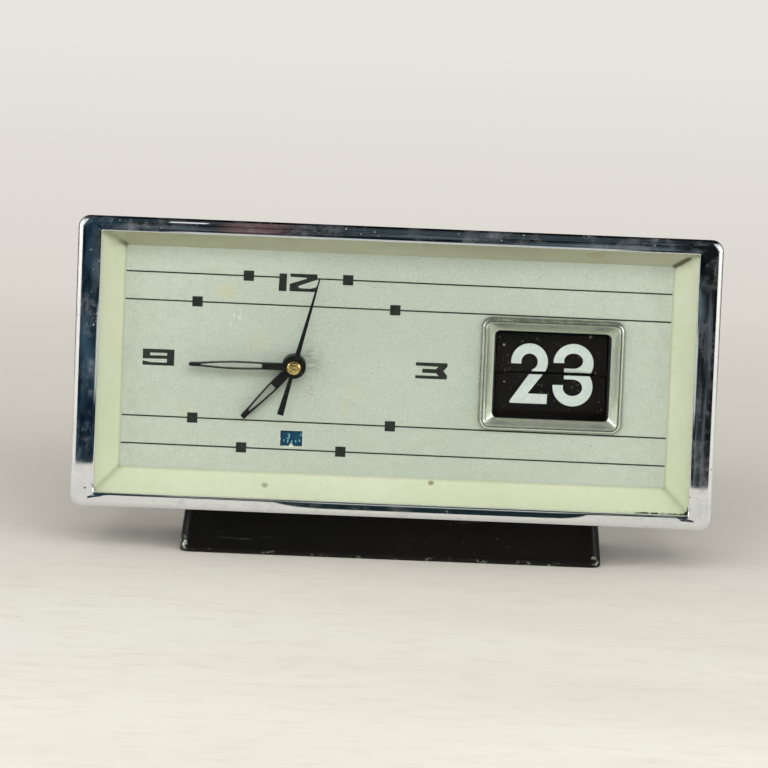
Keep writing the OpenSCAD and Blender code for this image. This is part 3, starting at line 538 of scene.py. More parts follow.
def dialFinish():
    startLook("silver_green_dial", dialColours)

    def dialSpot(x, z, *more):
        return spot(place(x, dialDepth, z), *more)

    look.colour = tint(cloud(17, 5, 0.34, 0.68, stretch=(1, 1, 1.6)), "tone", "shade")
    # painted light: the dial is paler towards its left and right, where the side lamps fall
    coat(between(absolute(axisOf(0)), 0.02, 0.078, 0, 0.6), "pale")
    coat(cloud(420, 6, 0.36, 0.66, 0, 0.5, rough=0.8), "mottle")
    coat(cloud(1700, 3, 0.35, 0.65, 0, 0.32), "fine")
    blots = larger(dialSpot(-49.7, 77.2, 3.1, 0.35, (0.85, 1, 1.3)),
                   *(product(dialSpot(x, z, radius, 0.9), 0.6) for x, z, radius in dialBlots))
    coat(product(blots, cloud(300, 4, 0.2, 0.6, 0.45, 0.9)), "blot")
    rub = dialSpot(handX + 5.0, handZ + 1.2, 5.2, 0.9, (1.3, 1, 0.75))
    coat(product(rub, cloud(700, 5, 0.44, 0.6, stretch=(0.7, 1, 1.6), rough=0.8)), "rub", 0.62)
    rust = dialSpot(handX + 4.9, handZ - 8.2, 4.2, 0.9)
    coat(product(rust, cloud(800, 4, 0.52, 0.62, rough=0.8, shift=(3, 1, 0))), "rust", 0.5)
    scrape = dialSpot(handX - 17.4, handZ + 12.8, 3.4, 0.6, (1.6, 1, 0.8))
    broken = cloud(520, 3, 0.53, 0.57, stretch=(1.8, 1, 0.6), shift=(0, 2, 1))
    coat(product(scrape, broken), "scrape", 0.7)
    flecks = product(specks(260, 0.07), cloud(40, 3, 0.47, 0.58, shift=(0, 3, 0)))
    coat(flecks, "fleck", 0.6)
    # painted shadow, with dirt, in a narrow strip beside the calendar rim's left side
    shadeAndDirtBesideRim = dialSpot(25.2, 52.0, 14, 0.6, (8, 1, 1))
    coat(product(shadeAndDirtBesideRim, cloud(420, 5, 0.42, 0.6, rough=0.8)), "side", 0.6)
    # painted contact shadow, with dirt, in a ragged ring round the calendar rim
    ring = between(rimDistance(), 0.55, 0.02, 0, 0.7)
    coat(product(ring, cloud(500, 4, 0.3, 0.6, 0.4, 1)), "rim")
    dull = cloud(120, 3, 0.3, 0.7, 0.42, 0.58)
    return close(surface((2200, 2, 0.004), roughness=dull, metallic=0.1, specular=0.35))


def paneFinish():
    # a clear pane: nearly all of it lets the light through, with dust and wipe marks
    startLook("clear_pane")
    dust = product(specks(240, 0.05), cloud(20, 3, 0.5, 0.62))
    wipe = cloud(26, 3, 0.4, 0.8, 0.001, 0.006, stretch=(1, 1, 2))
    edge = between(shade("Fresnel", {"IOR": 1.3}), 0.05, 0.8, 0, 0.6)
    look.colour = tint(dust, (150, 156, 150), (240, 240, 232))
    shown = larger(wipe, edge, product(dust, 0.3))
    return close(surface(alpha=shown, roughness=0.06, specular=0.9))


standColours = {"black": (5, 5, 5), "brown": (9, 8, 8), "edge": (40, 42, 36), "chip": (168, 176, 160),
                "dust": (120, 122, 112), "scratch": (90, 92, 86)}


def standFinish():
    startLook("worn_black_stand", standColours)
    look.colour = tint(cloud(30, 4, 0.35, 0.65), "black", "brown")
    edge = between(axisOf(2), 1.6 * mm, 0.2 * mm)
    chips = product(edge, cloud(420, 5, 0.56, 0.62, rough=0.7), cloud(60, 3, 0.45, 0.6))
    corner = larger(spot((-0.0600, -0.0186, 0.0028), 2.4, 0.6), spot((0.0598, -0.0186, 0.0022), 1.6, 0.6))
    # lighter along the rounded foot: edge wear, with a painted highlight
    coat(edge, "edge", 0.35)
    coat(larger(chips, product(corner, cloud(700, 4, 0.45, 0.55))), "chip")
    dust = product(specks(520, 0.08), cloud(35, 3, 0.48, 0.62, shift=(1, 0, 0)))
    coat(dust, "dust", 0.7)
    coat(cloud(260, 2, 0.69, 0.73, 0, 0.35, stretch=(0.12, 1, 2)), "scratch")
    dull = cloud(150, 3, 0.3, 0.7, 0.3, 0.5)
    return close(surface((800, 3, 0.014), roughness=dull, specular=0.12))


def leafFinish():
    startLook("black_leaf")
    tone = cloud(55, 4, 0.35, 0.65, stretch=(1, 1, 2))
    look.colour = tint(tone, (14, 16, 16), (24, 20, 17))
    big = product(specks(300, 0.14, (0.3, 0.2, 0.1)), cloud(90, 3, 0.5, 0.58, shift=(3, 0, 0)))
    coat(product(specks(620, 0.2), cloud(130, 3, 0.4, 0.58)), (110, 108, 102), 0.45)
    coat(big, (176, 176, 166), 0.85)
    dull = between(tone, 0, 1, 0.42, 0.6)
    return close(surface((1300, 2, 0.004), roughness=dull, specular=0.1))


def figureFinish(name, base, other, scale=900):
    # screened ink, with the grain of what is under it
    startLook(name)
    look.colour = tint(cloud(scale, 4, 0.35, 0.65), base, other)
    coat(cloud(60, 3, 0.45, 0.7, 0, 0.5), other)
    return close(surface((1500, 2, 0.004), roughness=0.55, specular=0.25))


rimColours = {"silver": (228, 233, 220), "shade": (212, 220, 204), "wear": (160, 156, 134), "groove": (70, 72, 60),
              "left": (74, 82, 70), "skirt": (84, 84, 70), "crest": (110, 100, 84)}


def rimFinish():
    startLook("satin_silver_rim", rimColours)
    look.colour = tint(cloud(60, 4, 0.35, 0.65), "silver", "shade")
    coat(cloud(200, 4, 0.58, 0.74, 0, 0.3, shift=(1, 2, 0)), "wear")
    out = rimDistance()
    # grime, with painted shade, darkens the groove
    coat(product(between(out, -1.12, -0.98), between(out, -0.72, -0.84)), "groove", 0.75)
    # painted shade: the inner part of the bevel is darker on the left side
    leftBevelShade = between(axisOf(0), (calendarX - 18.2) * mm, (calendarX - 18.7) * mm)
    coat(product(leftBevelShade, between(out, -1.5, -1.9)), "left", 0.6)
    # painted shadow: a dark line round the rim's outer foot
    coat(between(out, -0.34, -0.1), "skirt", 0.6)
    # painted shade along the rim's top, ragged
    top = between(axisOf(2), (calendarZ + 15.4) * mm, (calendarZ + 15.9) * mm)
    coat(product(top, cloud(420, 4, 0.38, 0.6, rough=0.7)), "crest", 0.6)
    return close(surface(metallic=0.8, roughness=0.27))


def discFinish():
    startLook("blue_alarm_disc")
    look.colour = tint(cloud(420, 4, 0.35, 0.65), (2, 72, 104), (2, 50, 78))
    return close(surface((1500, 2, 0.003), roughness=0.45, specular=0.3))


brassLight, brassDark, brassGrime = (0.86, 0.66, 0.28, 1), (0.76, 0.55, 0.2, 1), (0.4, 0.26, 0.1, 1)
steelLight, steelDark, steelGrime = (0.62, 0.62, 0.61, 1), (0.5, 0.5, 0.5, 1), (0.26, 0.2, 0.15, 1)
blueLight, blueDark, blueGrime = (0.1, 0.13, 0.2, 1), (0.14, 0.16, 0.2, 1), (0.2, 0.16, 0.14, 1)
finishes = {
    "chrome": chromeFinish(), "glass": paneFinish(), "surround": surroundFinish(), "dial": dialFinish(),
    "frame_silver": rimFinish(), "stand_paint": standFinish(), "leaf_black": leafFinish(), "disc_blue": discFinish(),
    "case_paint": paintFinish("satin_black_case", (26, 26, 27), (33, 33, 34), 40, (0.3, 0.42), 0.014),
    "hand_black": paintFinish("black_hand", (9, 9, 9), (15, 15, 15), 300, (0.32, 0.45), 0.004, 0.35),
    "drum_plastic": paintFinish("moulded_drum", (38, 38, 37), (29, 29, 28), 60, (0.4, 0.5), 0.008),
    "brass": metalFinish("turned_brass", brassLight, brassDark, 160, (0.2, 0.34), 0.002, brassGrime, 0.68),
    "steel": metalFinish("bright_steel", steelLight, steelDark, 180, (0.2, 0.36), 0.003, steelGrime, 0.66),
    "spring_steel": metalFinish("blued_steel", blueLight, blueDark, 220, (0.2, 0.32), 0.002, blueGrime),
}
printInk = figureFinish("black_print", (28, 33, 29), (42, 48, 42), 500)
figureInk = figureFinish("pale_figure", (206, 217, 209), (192, 205, 197))
discInk = figureFinish("pale_disc_figure", (150, 205, 208), (110, 175, 182))
paleEdge = figureFinish("pale_edge", (232, 236, 224), (214, 222, 208), 600)

slotOf = {row["node"]: row["material_slot"] for row in frame["record"]["subparts"]}
for name, node in nodes.items():
    node.data.materials.clear()
    node.data.materials.append(finishes[slotOf[name]])
print("finishes made:", len(finishes), "and the inks")


def carry(piece, body, slot, *replaced):
    if replaced:
        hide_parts(*replaced)
    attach(piece, body)


# bezel

# the lower bar is flat at its ends and dips between dipLeft and dipRight, each eased over its width
bezelSizes = {"barSide": 6.85, "barTop": 4.25, "corner": 3.5, "roll": 1.5, "lip": 1.4, "rebate": 1.3, "hollow": 0.13,
              "innerRound": 0.4, "draft": 1.8, "footDraft": 0.4, "dipLeft": (-46, 28), "dipRight": (63, 14), "dip": 1.1}


def bezelPiece():
    z = bezelSizes
    back, roll, hollow, rounding = bezelDepth[1], z["roll"], z["hollow"], z["innerRound"]
    innerW, innerH = halfW - z["barSide"], halfH - z["barTop"]
    rings = []
    for i in range(5):  # the sides draw in towards the back, less so underneath
        t = 1 - i / 5
        low, high, depth = z["footDraft"] * t, z["draft"] * t, roll + (back - roll) * t
        rings.append((0, faceZ + (low - high) / 2, halfW - high, halfH - (low + high) / 2, z["corner"], depth))
    rings += rollRings((0, faceZ), (halfW, halfH), z["corner"], 0, roll, 0, 10)
    for i in range(1, 7):  # the face of the bar dips a little towards the opening
        t = i / 6
        w, h = (a - roll + (b + rounding - a + roll) * t for a, b in ((halfW, innerW), (halfH, innerH)))
        rings.append((0, faceZ, w, h, z["corner"] * 0.6 * (1 - t) + 0.5, hollow * t ** 1.6))
    for i in range(1, 5):  # the inner edge turns back round a small radius
        a = math.radians(90 * i / 4)
        inset = rounding * (1 - math.sin(a))
        rings.append((0, faceZ, innerW + inset, innerH + inset, 0.5, hollow + rounding * (1 - math.cos(a))))
    for grow, depth in ((0, z["lip"]), (z["rebate"], z["lip"]), (z["rebate"], back)):
        rings.append((0, faceZ, innerW + grow, innerH + grow, 0.5, depth))
    piece = loftRings("bezel_frame", rings, finishes["chrome"], steps=10, angle=50, split=36)
    start, reach = faceZ - halfH + roll, z["barTop"] - roll - rounding
    (left, leftEase), (right, rightEase) = z["dipLeft"], z["dipRight"]
    for vertex in piece.data.vertices:
        x, depth, t = vertex.co.x / mm, (vertex.co.y - frontY) / mm, (vertex.co.z / mm - start) / reach
        if 0 < t < 1.3 and depth < z["lip"] - 0.1 and abs(x) < innerW + rounding + 0.1:
            ease = min(max((x - left) / leftEase, 0), 1) * min(max((right - x) / rightEase, 0), 1)
            vertex.co.y += (z["dip"] * ease * ease * (3 - 2 * ease) - 1) * hollow * min(t, 1) ** 1.6 * mm
    return piece


carry(bezelPiece(), "housing", "chrome", "bezel")
print("bezel made")


# surround


def surroundPiece():
    z = wallSizes
    front, edge, corner = z["front"], z["flangeBack"], 0.6
    rings = [(0, faceZ, z["flangeW"], z["flangeH"], corner, depth) for depth in (edge, front)]
    rings.append((0, faceZ, z["openW"] + 0.35, z["openH"] + 0.35, 1.0, front))
    for i in range(13):  # the wall slopes in, rolling over at the front and flaring where it meets the dial
        t = i / 12
        bow = z["bow"] * math.sin(math.pi * t)
        w, h = (z[near] + (z[far] - z[near]) * t + bow for near, far in (("openW", "dialW"), ("openH", "dialH")))
        rings.append((0, faceZ, w, h, 1.3 * (1 - t) ** 2 + 0.35, front + 0.12 + (dialDepth - front - 0.12) * t))
    rings += [(0, faceZ, z["flangeW"], z["flangeH"] - 0.9, corner, depth) for depth in (dialDepth, edge)]
    return loftRings("sloping_surround", rings, finishes["surround"], steps=6, angle=28)


carry(surroundPiece(), "housing", "surround", "dial_surround")
print("surround made")


# calendar rim

# the groove's inset and dip
grooveSteps = [(0.70, 0.12), (0.78, 0.34), (0.94, 0.34), (1.02, 0.1), (1.14, 0.0), (1.26, 0.02), (1.40, 0.16)]


def rimPiece():
    z = rimSizes
    top, collar, bevelIn, bevelCorner = dialDepth - z["rise"], 1.1, 1.4, 2.06
    x, c, w0 = calendarX + z["aside"], calendarZ + z["up"], calendarZ + z["windowUp"]
    outer, window = (z["outerW"], z["outerH"]), (z["windowW"], z["windowH"])
    rings = [(x, w0, window[0] + collar, window[1] + collar, 2.4, dialDepth + deep) for deep in (1.0, 0)]
    rings += [(x, c, *outer, z["corner"], depth) for depth in (dialDepth, top + 0.75)]
    rings += rollRings((x, c), outer, z["corner"], top + 0.05, 0.6, 15, 5)
    for inset, dip in grooveSteps:
        rings.append((x, c, outer[0] - inset, outer[1] - inset, z["corner"] - inset * 0.6, top + dip))
    for i in range(1, 9):  # the bevel runs down to the window
        t = i / 8
        w, h = (far - bevelIn + (near - far + bevelIn) * t for far, near in zip(outer, window))
        depth = top + 0.12 + 2.3 * t + 0.12 * math.sin(math.pi * t)
        rings.append((x, c + (w0 - c) * t, w, h, bevelCorner + (z["windowCorner"] - bevelCorner) * t, depth))
    rings.append((x, w0, *window, z["windowCorner"], dialDepth + 1.0))
    return loftRings("calendar_rim", rings, finishes["frame_silver"], angle=32)


carry(rimPiece(), "housing", "frame_silver", "calendar_frame")
print("calendar rim made")


# hands: turn in degrees, edge and slot as places along the hand with the half width there

handSizes = {
    "minute": {"turn": 269.4, "body": "minute_works", "hub": 3.45,
               "edge": [(2.0, 1.0), (9.0, 0.97), (13, 1.07), (17.5, 1.13), (22, 0.93), (27, 0.55), (29.9, 0.5),
                        (30.25, 0.3)],
               "slot": [(9.2, 0.66), (13, 0.78), (17.5, 0.82), (22, 0.62), (26.6, 0.2), (27.0, 0.08)]},
    "hour": {"turn": 222.3, "body": "hour_works", "hub": 3.45,
             "edge": [(2.0, 1.25), (8.0, 1.36), (9.5, 1.34), (13, 1.15), (17, 0.88), (19, 0.79), (21.2, 0.72),
                      (21.35, 0.5)],
             "slot": [(8.4, 0.96), (9.6, 0.95), (13, 0.76), (17, 0.46), (18.7, 0.24)]},
    "second": {"turn": 13.8, "body": "second_works", "hub": 2.45, "slot": None,
               "edge": [(-14.4, 0.92), (-14.2, 0.95), (-9, 0.74), (-2.6, 0.55), (2.0, 0.74), (9, 0.58), (18, 0.4),
                        (27.2, 0.2), (27.4, 0.1)]},
}
capSizes = {"sides": 14, "facetRows": 5, "wobble": 0.035, "dimple": 0.3}


def bothSides(edge):
    return [(w, u) for u, w in edge] + [(-w, u) for u, w in reversed(edge)]


def bladePiece(name, z):
    near, far = extent(name + "_hand")[1]
    loops, turn = [bothSides(edge) for edge in (z["edge"], z["slot"]) if edge], -math.radians(z["turn"])
    blade = prism(name + "_blade", [loops], near + 0.04, far, finishes["hand_black"], (handX, handZ), turn)
    bevel = blade.modifiers.new("bevel", "BEVEL")
    bevel.width, bevel.segments, bevel.limit_method, bevel.angle_limit = 0.06 * mm, 2, "ANGLE", math.radians(50)
    blade.data = shownMesh(blade)
    blade.modifiers.clear()
    return blade


def hubPiece(name, r):
    near, far = extent(name + "_hand")[1]
    front = [(axisRadius, 0.16), (r - 0.75, 0.16), (r - 0.6, 0.02), (r - 0.38, 0), (r - 0.12, 0.08), (r, 0.24)]
    profile = [(radius, near + dip) for radius, dip in front] + [(r, far), (axisRadius, far)]
    return lathe(name + "_hub", profile, (handX, handZ), finishes["hand_black"], 64, 30)


def capPiece():
    # a small domed nut with hammered facets and a dimple in its middle
    (left, right), (depth, _), _ = extent("hand_cap")
    radius, steps, facets = (right - left) / 2, capSizes["sides"], capSizes["facetRows"]
    rows = [(0.34, 0.2), (0.7, 0.06), (1.05, 0.12), (1.4, 0.1), (1.72, 0.2)]
    rows += [(radius - 0.04, 0.42), (radius, 0.62), (radius, 0.8)]
    verts = [place(handX, depth + capSizes["dimple"], handZ)]
    faces = [(0, 1 + i, 1 + (i + 1) % steps) for i in range(steps)]
    for k, (r, dip) in enumerate(rows):
        for i in range(steps):
            a = 2 * math.pi * (i + 0.5 * (k % 2)) / steps
            wobble = capSizes["wobble"] * math.sin(i * 5.3 + k * 2.1) if k < facets else 0
            verts.append(place(handX + r * math.cos(a), depth + max(0.001, dip + wobble), handZ + r * math.sin(a)))
    for k in range(len(rows) - 1):
        a, b = 1 + k * steps, 1 + (k + 1) * steps
        for i in range(steps):
            n = (i + 1) % steps
            if k >= facets:
                faces.append((a + i, b + i, b + n, a + n))
            elif k % 2:
                faces += [(a + i, b + i, b + n), (a + i, b + n, a + n)]
            else:
                faces += [(a + i, b + i, a + n), (a + n, b + i, b + n)]
    faces.append(tuple(1 + (len(rows) - 1) * steps + i for i in range(steps)))
    return meshPiece("brass_cap", verts, faces, finishes["brass"], 12)


carry(capPiece(), "second_works", "brass", "hand_cap")
for name, z in handSizes.items():
    carry(bladePiece(name, z), z["body"], "hand_black", name + "_hand")
    carry(hubPiece(name, z["hub"]), z["body"], "hand_black")
print("hands made")


# stand

standSizes = {"lean": 1.6, "corner": 2.5, "innerCorner": 1.4, "wall": 1.4, "foot": 0.9, "extra": 0.9}


def standPiece():
    z = standSizes
    lowY, highY = (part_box("stand")[k].y / mm for k in (0, 1))
    (_, right), _, (_, top) = extent("stand")
    halfX, halfY, midX, midY = right + z["extra"] / 2, (highY - lowY) / 2, z["extra"] / 2, (highY + lowY) / 2
    wall, foot, lean, corner = z["wall"], z["foot"], z["lean"], z["corner"]
    rings = []
    for i in range(7):  # the rounded foot
        a = math.radians(-90 + 90 * i / 6)
        inset = foot * (1 - math.cos(a))
        rings.append((midX, midY, halfX - inset, halfY - inset, corner, foot * (1 + math.sin(a))))
    for i in range(1, 6):
        t = i / 5
        rings.append((midX, midY, halfX - lean * t, halfY - lean * t, corner, foot + (top - foot) * t))
    for inset, height in ((lean + wall, top - wall), (wall + 0.6, 0.0)):
        rings.append((midX, midY, halfX - inset, halfY - inset, z["innerCorner"], height))
    piece = loftRings("stand_shell", rings, finishes["stand_paint"], upright=False)

    def openTop(work):  # the loft's slope under the top becomes a top plate and a ceiling
        mid = (top - wall / 2) * mm
        slope = [face for face in work.faces if abs(face.calc_center_median().z - mid) < 0.2 * mm]
        bmesh.ops.delete(work, geom=slope, context="FACES_ONLY")
        closeHoles(work)
    reshape(piece.data, openTop)
    return piece


carry(standPiece(), "housing", "stand_paint", "stand")


# case body

caseSizes = {"wall": 1.8, "tuck": 1.4, "corner": 2.5, "innerCorner": 1.2, "front": 9}


def casePiece():
    z = caseSizes
    (_, frontX), (_, back), (bottom, top) = extent("case_shell")
    (_, backX), _, (_, backTop) = extent("back_cover")
    top, frontX = top - z["tuck"], frontX - z["tuck"]
    rings = []
    for inset, corner, steps in ((0, z["corner"], range(9)), (z["wall"], z["innerCorner"], range(8, -1, -1))):
        for i in steps:
            t = i / 8
            high, low = top + (backTop - top) * t - inset, bottom + inset
            w, depth = frontX + (backX - frontX) * t - inset, z["front"] + (back - z["front"]) * t
            rings.append((0, (high + low) / 2, w, (high - low) / 2, corner, depth))
    return loftRings("case_body", rings, finishes["case_paint"], angle=40)


carry(casePiece(), "housing", "case_paint", "case_shell")
print("stand and case made")


# print on the dial, placed off the hands' middle; the top line breaks off at the numeral that it meets

printSizes = {"lineWidth": 0.42, "square": 3.0, "thick": 0.03, "slope": -0.2, "lineEnd": 78.62, "breaks": (-5.25, 5.75)}
lineRows = [25.3, 17.1, -17.1, -25.3]
squareSpots = [(-14.0, 25.35), (14.6, 25.3), (-28.5, 17.15), (28.5, 17.1), (-28.8, -17.1), (28.3, -17.1),
               (-14.4, -25.25), (14.3, -25.25)]
# numerals: where each is put, then its outlines
numerals = [
    ((0, 0), [[(-5.3, 21.3), (-3.05, 21.3), (-3.0, 26.45), (-5.2, 26.45)]]),
    ((-2.15, 21.35), [[(0, 0), (7.6, 0), (8.0, 1.8), (7.2, 1.25), (5.9, 0.94), (2.9, 0.98), (2.6, 1.2), (2.56, 1.5),
                       (2.8, 1.75), (7.93, 3.66), (7.85, 5.2), (0.05, 5.2), (0.1, 4.24), (4.75, 4.1), (4.95, 3.98),
                       (4.8, 3.83), (0, 2.16)]]),
    ((35.0, -2.75), [[(0, 0), (9.1, 0), (9.2, 1.08), (8.1, 2.43), (9.2, 3.8), (9.2, 4.77), (0, 4.75), (0.1, 3.77),
                      (6.6, 3.63), (5.85, 2.91), (1.95, 2.9), (1.98, 1.73), (5.95, 1.7), (6.75, 0.89), (0, 0.93)]]),
    ((-43.7, -2.0), [[(0, 0), (9.1, 0), (9.1, 4.77), (0, 4.77), (0, 1.86), (7.0, 1.98), (7.0, 0.86), (2.5, 0.86),
                      (0, 1.3)],
                     [(2.13, 2.88), (2.13, 3.66), (7.0, 3.7), (7.0, 2.94)]]),
]


def printSpot(x, row):
    # on the dial's face, on a row that slopes a little
    slope = math.tan(math.radians(printSizes["slope"]))
    return place(x, dialDepth - printSizes["thick"] / 2, handZ + row + slope * (x - handX))


def linesPiece():
    end, (left, right) = printSizes["lineEnd"], printSizes["breaks"]
    spans = []
    for row in lineRows:
        pieces = [(-end, handX + left), (handX + right, end)] if row == lineRows[0] else [(-end, end)]
        spans += [(row, a, b) for a, b in pieces]
    points = [printSpot((a + b) / 2, row) for row, a, b in spans]
    sizes = [((b - a) * mm, 1, printSizes["lineWidth"] * mm) for row, a, b in spans]
    mesh = pointMesh("line_points", points, size=sizes, turn=[math.radians(-printSizes["slope"])] * len(spans))
    return bakeTree("dial_lines", blocks, mesh, {"Thickness": (printSizes["thick"] + 0.02) * mm, "Finish": printInk})


def squaresPiece():
    side, count = printSizes["square"] * mm, len(squareSpots)
    points = [printSpot(handX + x, z) for x, z in squareSpots]
    mesh = pointMesh("square_points", points, size=[(side, 1, side)] * count, turn=[0.0] * count)
    return bakeTree("dial_squares", blocks, mesh, {"Thickness": (printSizes["thick"] + 0.04) * mm, "Finish": printInk})


def numeralsPiece():
    moved = [[[(x + right, z + up) for x, z in loop] for loop in loops] for (right, up), loops in numerals]
    return prism("dial_numerals", moved, dialDepth - printSizes["thick"], dialDepth + 0.01, printInk, (handX, handZ))


for piece in (linesPiece(), squaresPiece(), numeralsPiece()):
    carry(piece, "housing", "hand_black")
print("dial print made")


# figures on the leaves, drawn about the middle of their height

figureSizes = {"drop": 0.33, "twoX": 38.42, "threeX": 51.1, "thick": 0.03, "leafThick": 0.4, "leaves": 31,
               "drumRadius": 8.8, "packLean": 10}


def arc(cx, cz, rx, rz, start, end, count=20):
    turns = [math.radians(start + (end - start) * i / count) for i in range(count + 1)]
    return [(cx + rx * math.cos(a), cz + rz * math.sin(a)) for a in turns]


def figureTwo():
    up = 3.45
    outline = arc(0, up, 5.3, 5.42, 186.4, -36, 30)
    outline += [(-0.25, -5.92), (5.45, -5.92), (5.4, -8.83), (-5.3, -8.83), (-5.3, -8.2), (0.62, 0.75), (1.15, 1.5)]
    return [outline + arc(0, up, 2.38, 2.45, -48, 194, 26)]


def figureThree():
    outline = arc(0, 3.43, 5.78, 5.78, 180.2, -36.4, 30) + arc(0, -3.43, 5.78, 5.78, 36.4, -183.2, 30)
    outline += arc(0, -3.72, 2.8, 2.45, 163.5, 450, 28) + [(-2.6, -1.27), (-2.6, 1.9)]
    return [outline + arc(0, 4.15, 2.75, 2.25, 270, 374, 12) + arc(0, 4.15, 2.75, 2.25, 14, 197, 20)[1:]]


def figureFour():
    outer = [(0.9, -8.83), (3.8, -8.83), (3.8, -5.4), (5.7, -5.4), (5.7, -2.6), (3.8, -2.6), (3.8, 8.83), (0.4, 8.83),
             (-5.9, -2.9), (-5.9, -5.4), (0.9, -5.4)]
    return [outer, [(0.9, -2.6), (-2.75, -2.6), (0.9, 4.2)]]


def figuresPiece(name, second, face, keep, edge):
    # both figures of a date on a leaf's face, cut at the split: keep is 1 for the upper half and -1 for the lower
    figures = [(figureTwo(), figureSizes["twoX"]), (second, figureSizes["threeX"])]
    shapes = [[[(x + across - calendarX, z - figureSizes["drop"]) for x, z in loop] for loop in shape]
              for shape, across in figures]
    piece = prism(name, shapes, face - figureSizes["thick"], face + 0.01, figureInk, (calendarX, splitZ))
    return cutPiece(piece, place(0, 0, splitZ + edge * keep), Vector((0, 0, keep)))


def leafFigures():
    move, z = Matrix.Translation, figureSizes
    upper = figuresPiece("date_upper_half", figureThree(), hingeDepth, 1, 0.42)
    lower = figuresPiece("date_lower_half", figureThree(), lowerDepth, -1, 0.5)
    # the falling leaf's back carries the next date's lower half, upside down while it stands
    behind = figuresPiece("next_lower_half", figureFour(), hingeDepth - z["leafThick"], -1, 0.3)
    hinge = place(0, hingeDepth, splitZ)
    behind.data.transform(move(hinge) @ Matrix.Rotation(math.pi, 4, "X") @ move(-hinge))
    # the first leaf of the pack shows the next date's upper half once the leaf before it has fallen
    ahead = figuresPiece("next_upper_half", figureFour(), -0.2, 1, 0.3)
    turn, reach, drum = math.radians(360 / z["leaves"]), z["drumRadius"] * mm, joints["date_drum_turn"]["pos_m"]
    root = Vector((0, drum[1] - reach * math.cos(turn), drum[2] + reach * math.sin(turn)))
    lean = Matrix.Rotation(math.radians(z["packLean"]) - turn, 4, "X")
    ahead.data.transform(move(root) @ lean @ move(-place(0, 0, splitZ)))
    for piece, body in ((upper, "falling_leaf"), (lower, "housing"), (behind, "falling_leaf"), (ahead, "housing")):
        carry(piece, body, "drum_plastic")


leafFigures()
print("date figures made")


# alarm disc and its window

discSizes = {"figureRadius": 7.3, "figureHeight": 1.6, "shown": 3.22, "tickInner": 8.3, "tickOuter": 9.0, "ticks": 48,
             "tickWidth": 0.3, "longTick": 1.35, "shortTick": 0.9, "pointer": 0.64, "windowDrop": 7.5, "windowW": 3.2,
             "windowH": 2.3}
alarmWindow = discZ - discSizes["windowDrop"]


def discFigures():
    joined = bmesh.new()
    out = Matrix.Translation((0, 0, -discSizes["figureRadius"] * mm)) @ Matrix.Rotation(math.pi / 2, 4, "X")
    centre = Matrix.Translation(place(discX, discDepth - 0.02, discZ))
    for hour in range(1, 13):
        curve = bpy.data.curves.new("figure", "FONT")
        curve.body, curve.align_x, curve.align_y = str(hour), "CENTER", "CENTER"
        curve.size, curve.extrude, curve.space_character = discSizes["figureHeight"] * 1.45 * mm, 0.015 * mm, 0.9
        carrier = addObject("figure", curve)
        mesh = shownMesh(carrier)
        bpy.data.objects.remove(carrier)
        angle = math.radians((hour - discSizes["shown"]) * 30)
        mesh.transform(centre @ Matrix.Rotation(-angle, 4, "Y") @ out)
        joined.from_mesh(mesh)
    whole = bpy.data.meshes.new("disc_figures")
    joined.to_mesh(whole)
    joined.free()
    return finishPiece("disc_figures", whole, discInk, 30)


def discTicks():
    z = discSizes
    points, sizes, turns = [], [], []
    radius, length = (z["tickInner"] + z["tickOuter"]) / 2, z["tickOuter"] - z["tickInner"]
    for i in range(z["ticks"]):
        angle = math.radians(i * 360 / z["ticks"] - (z["shown"] % 1) * 30)
        points.append(place(discX + radius * math.sin(angle), discDepth - 0.01, discZ - radius * math.cos(angle)))
        sizes.append((z["tickWidth"] * mm, 1, length * (z["longTick"] if i % 4 == 0 else z["shortTick"]) * mm))
        turns.append(-angle)
    mesh = pointMesh("tick_points", points, size=sizes, turn=turns)
    return bakeTree("disc_ticks", blocks, mesh, {"Thickness": 0.03 * mm, "Finish": discInk})


def pointerPiece():
    # a pale pointer on the window's lower edge
    half, low = discSizes["pointer"], alarmWindow - discSizes["windowH"]
    shape = [(-half, low - 0.04), (half, low - 0.04), (0.05, low + 0.82), (-0.05, low + 0.82)]
    return prism("alarm_pointer", [[shape]], dialDepth - 0.06, dialDepth + 0.25, paleEdge, (discX, 0))


def windowEdge():
    # the pale cut edge of the dial round the window
    w, h = discSizes["windowW"], discSizes["windowH"]
    rows = ((0, 0.02), (0.16, -0.03), (0.16, 0.02))
    rings = [(discX, alarmWindow, w + grow, h + grow, 0.08, dialDepth + deep) for grow, deep in rows]
    return loftRings("alarm_window_edge", rings, paleEdge, steps=3, angle=20)


carry(pointerPiece(), "housing", "frame_silver")
carry(windowEdge(), "housing", "frame_silver")
carry(discFigures(), "alarm_setter", "disc_blue")
carry(discTicks(), "alarm_setter", "disc_blue")
print("alarm disc made")


# knobs and screws at the back

knobSizes = {"radius": 4.55, "flutes": 28, "flute": 0.42, "length": 5.6}
screwSizes = {"across": 2.6, "sides": 32, "slotWidth": 0.36, "slotDepth": 0.5, "turns": [0.35, 1.2, -0.6, 2.1],
              "head": [(axisRadius, -0.42), (0.9, -0.38), (1.7, -0.2), (2.35, 0.12), (2.6, 0.5), (2.6, 1.3),
                       (axisRadius, 1.3)]}


def knobPiece(name, node, body):
    across, (near, far), upright = extent(node)
    x, z, r = middle(across), middle(upright), knobSizes["radius"]
    profile = [(axisRadius, near), (r - 0.5, near), (r, near + 0.35), (r, far - 0.9), (r - 0.3, far - 0.35),
               (r - 1.0, far), (r - 1.6, far - 0.1), (r - 2.2, far - 0.45), (axisRadius, far - 0.5)]
    values = {"Count": knobSizes["flutes"], "Rim Radius": r * mm, "Flute Radius": knobSizes["flute"] * mm,
              "Length": knobSizes["length"] * mm, "Finish": finishes["brass"]}
    turned = lathe(name, profile, (x, z), finishes["brass"])
    rim = bakeTree(name + "_flutes", flutes, pointMesh("knob_point", [place(x, (near + far) / 2 - 0.1, z)]), values)
    carry(turned, body, "brass", node)
    carry(rim, body, "brass")


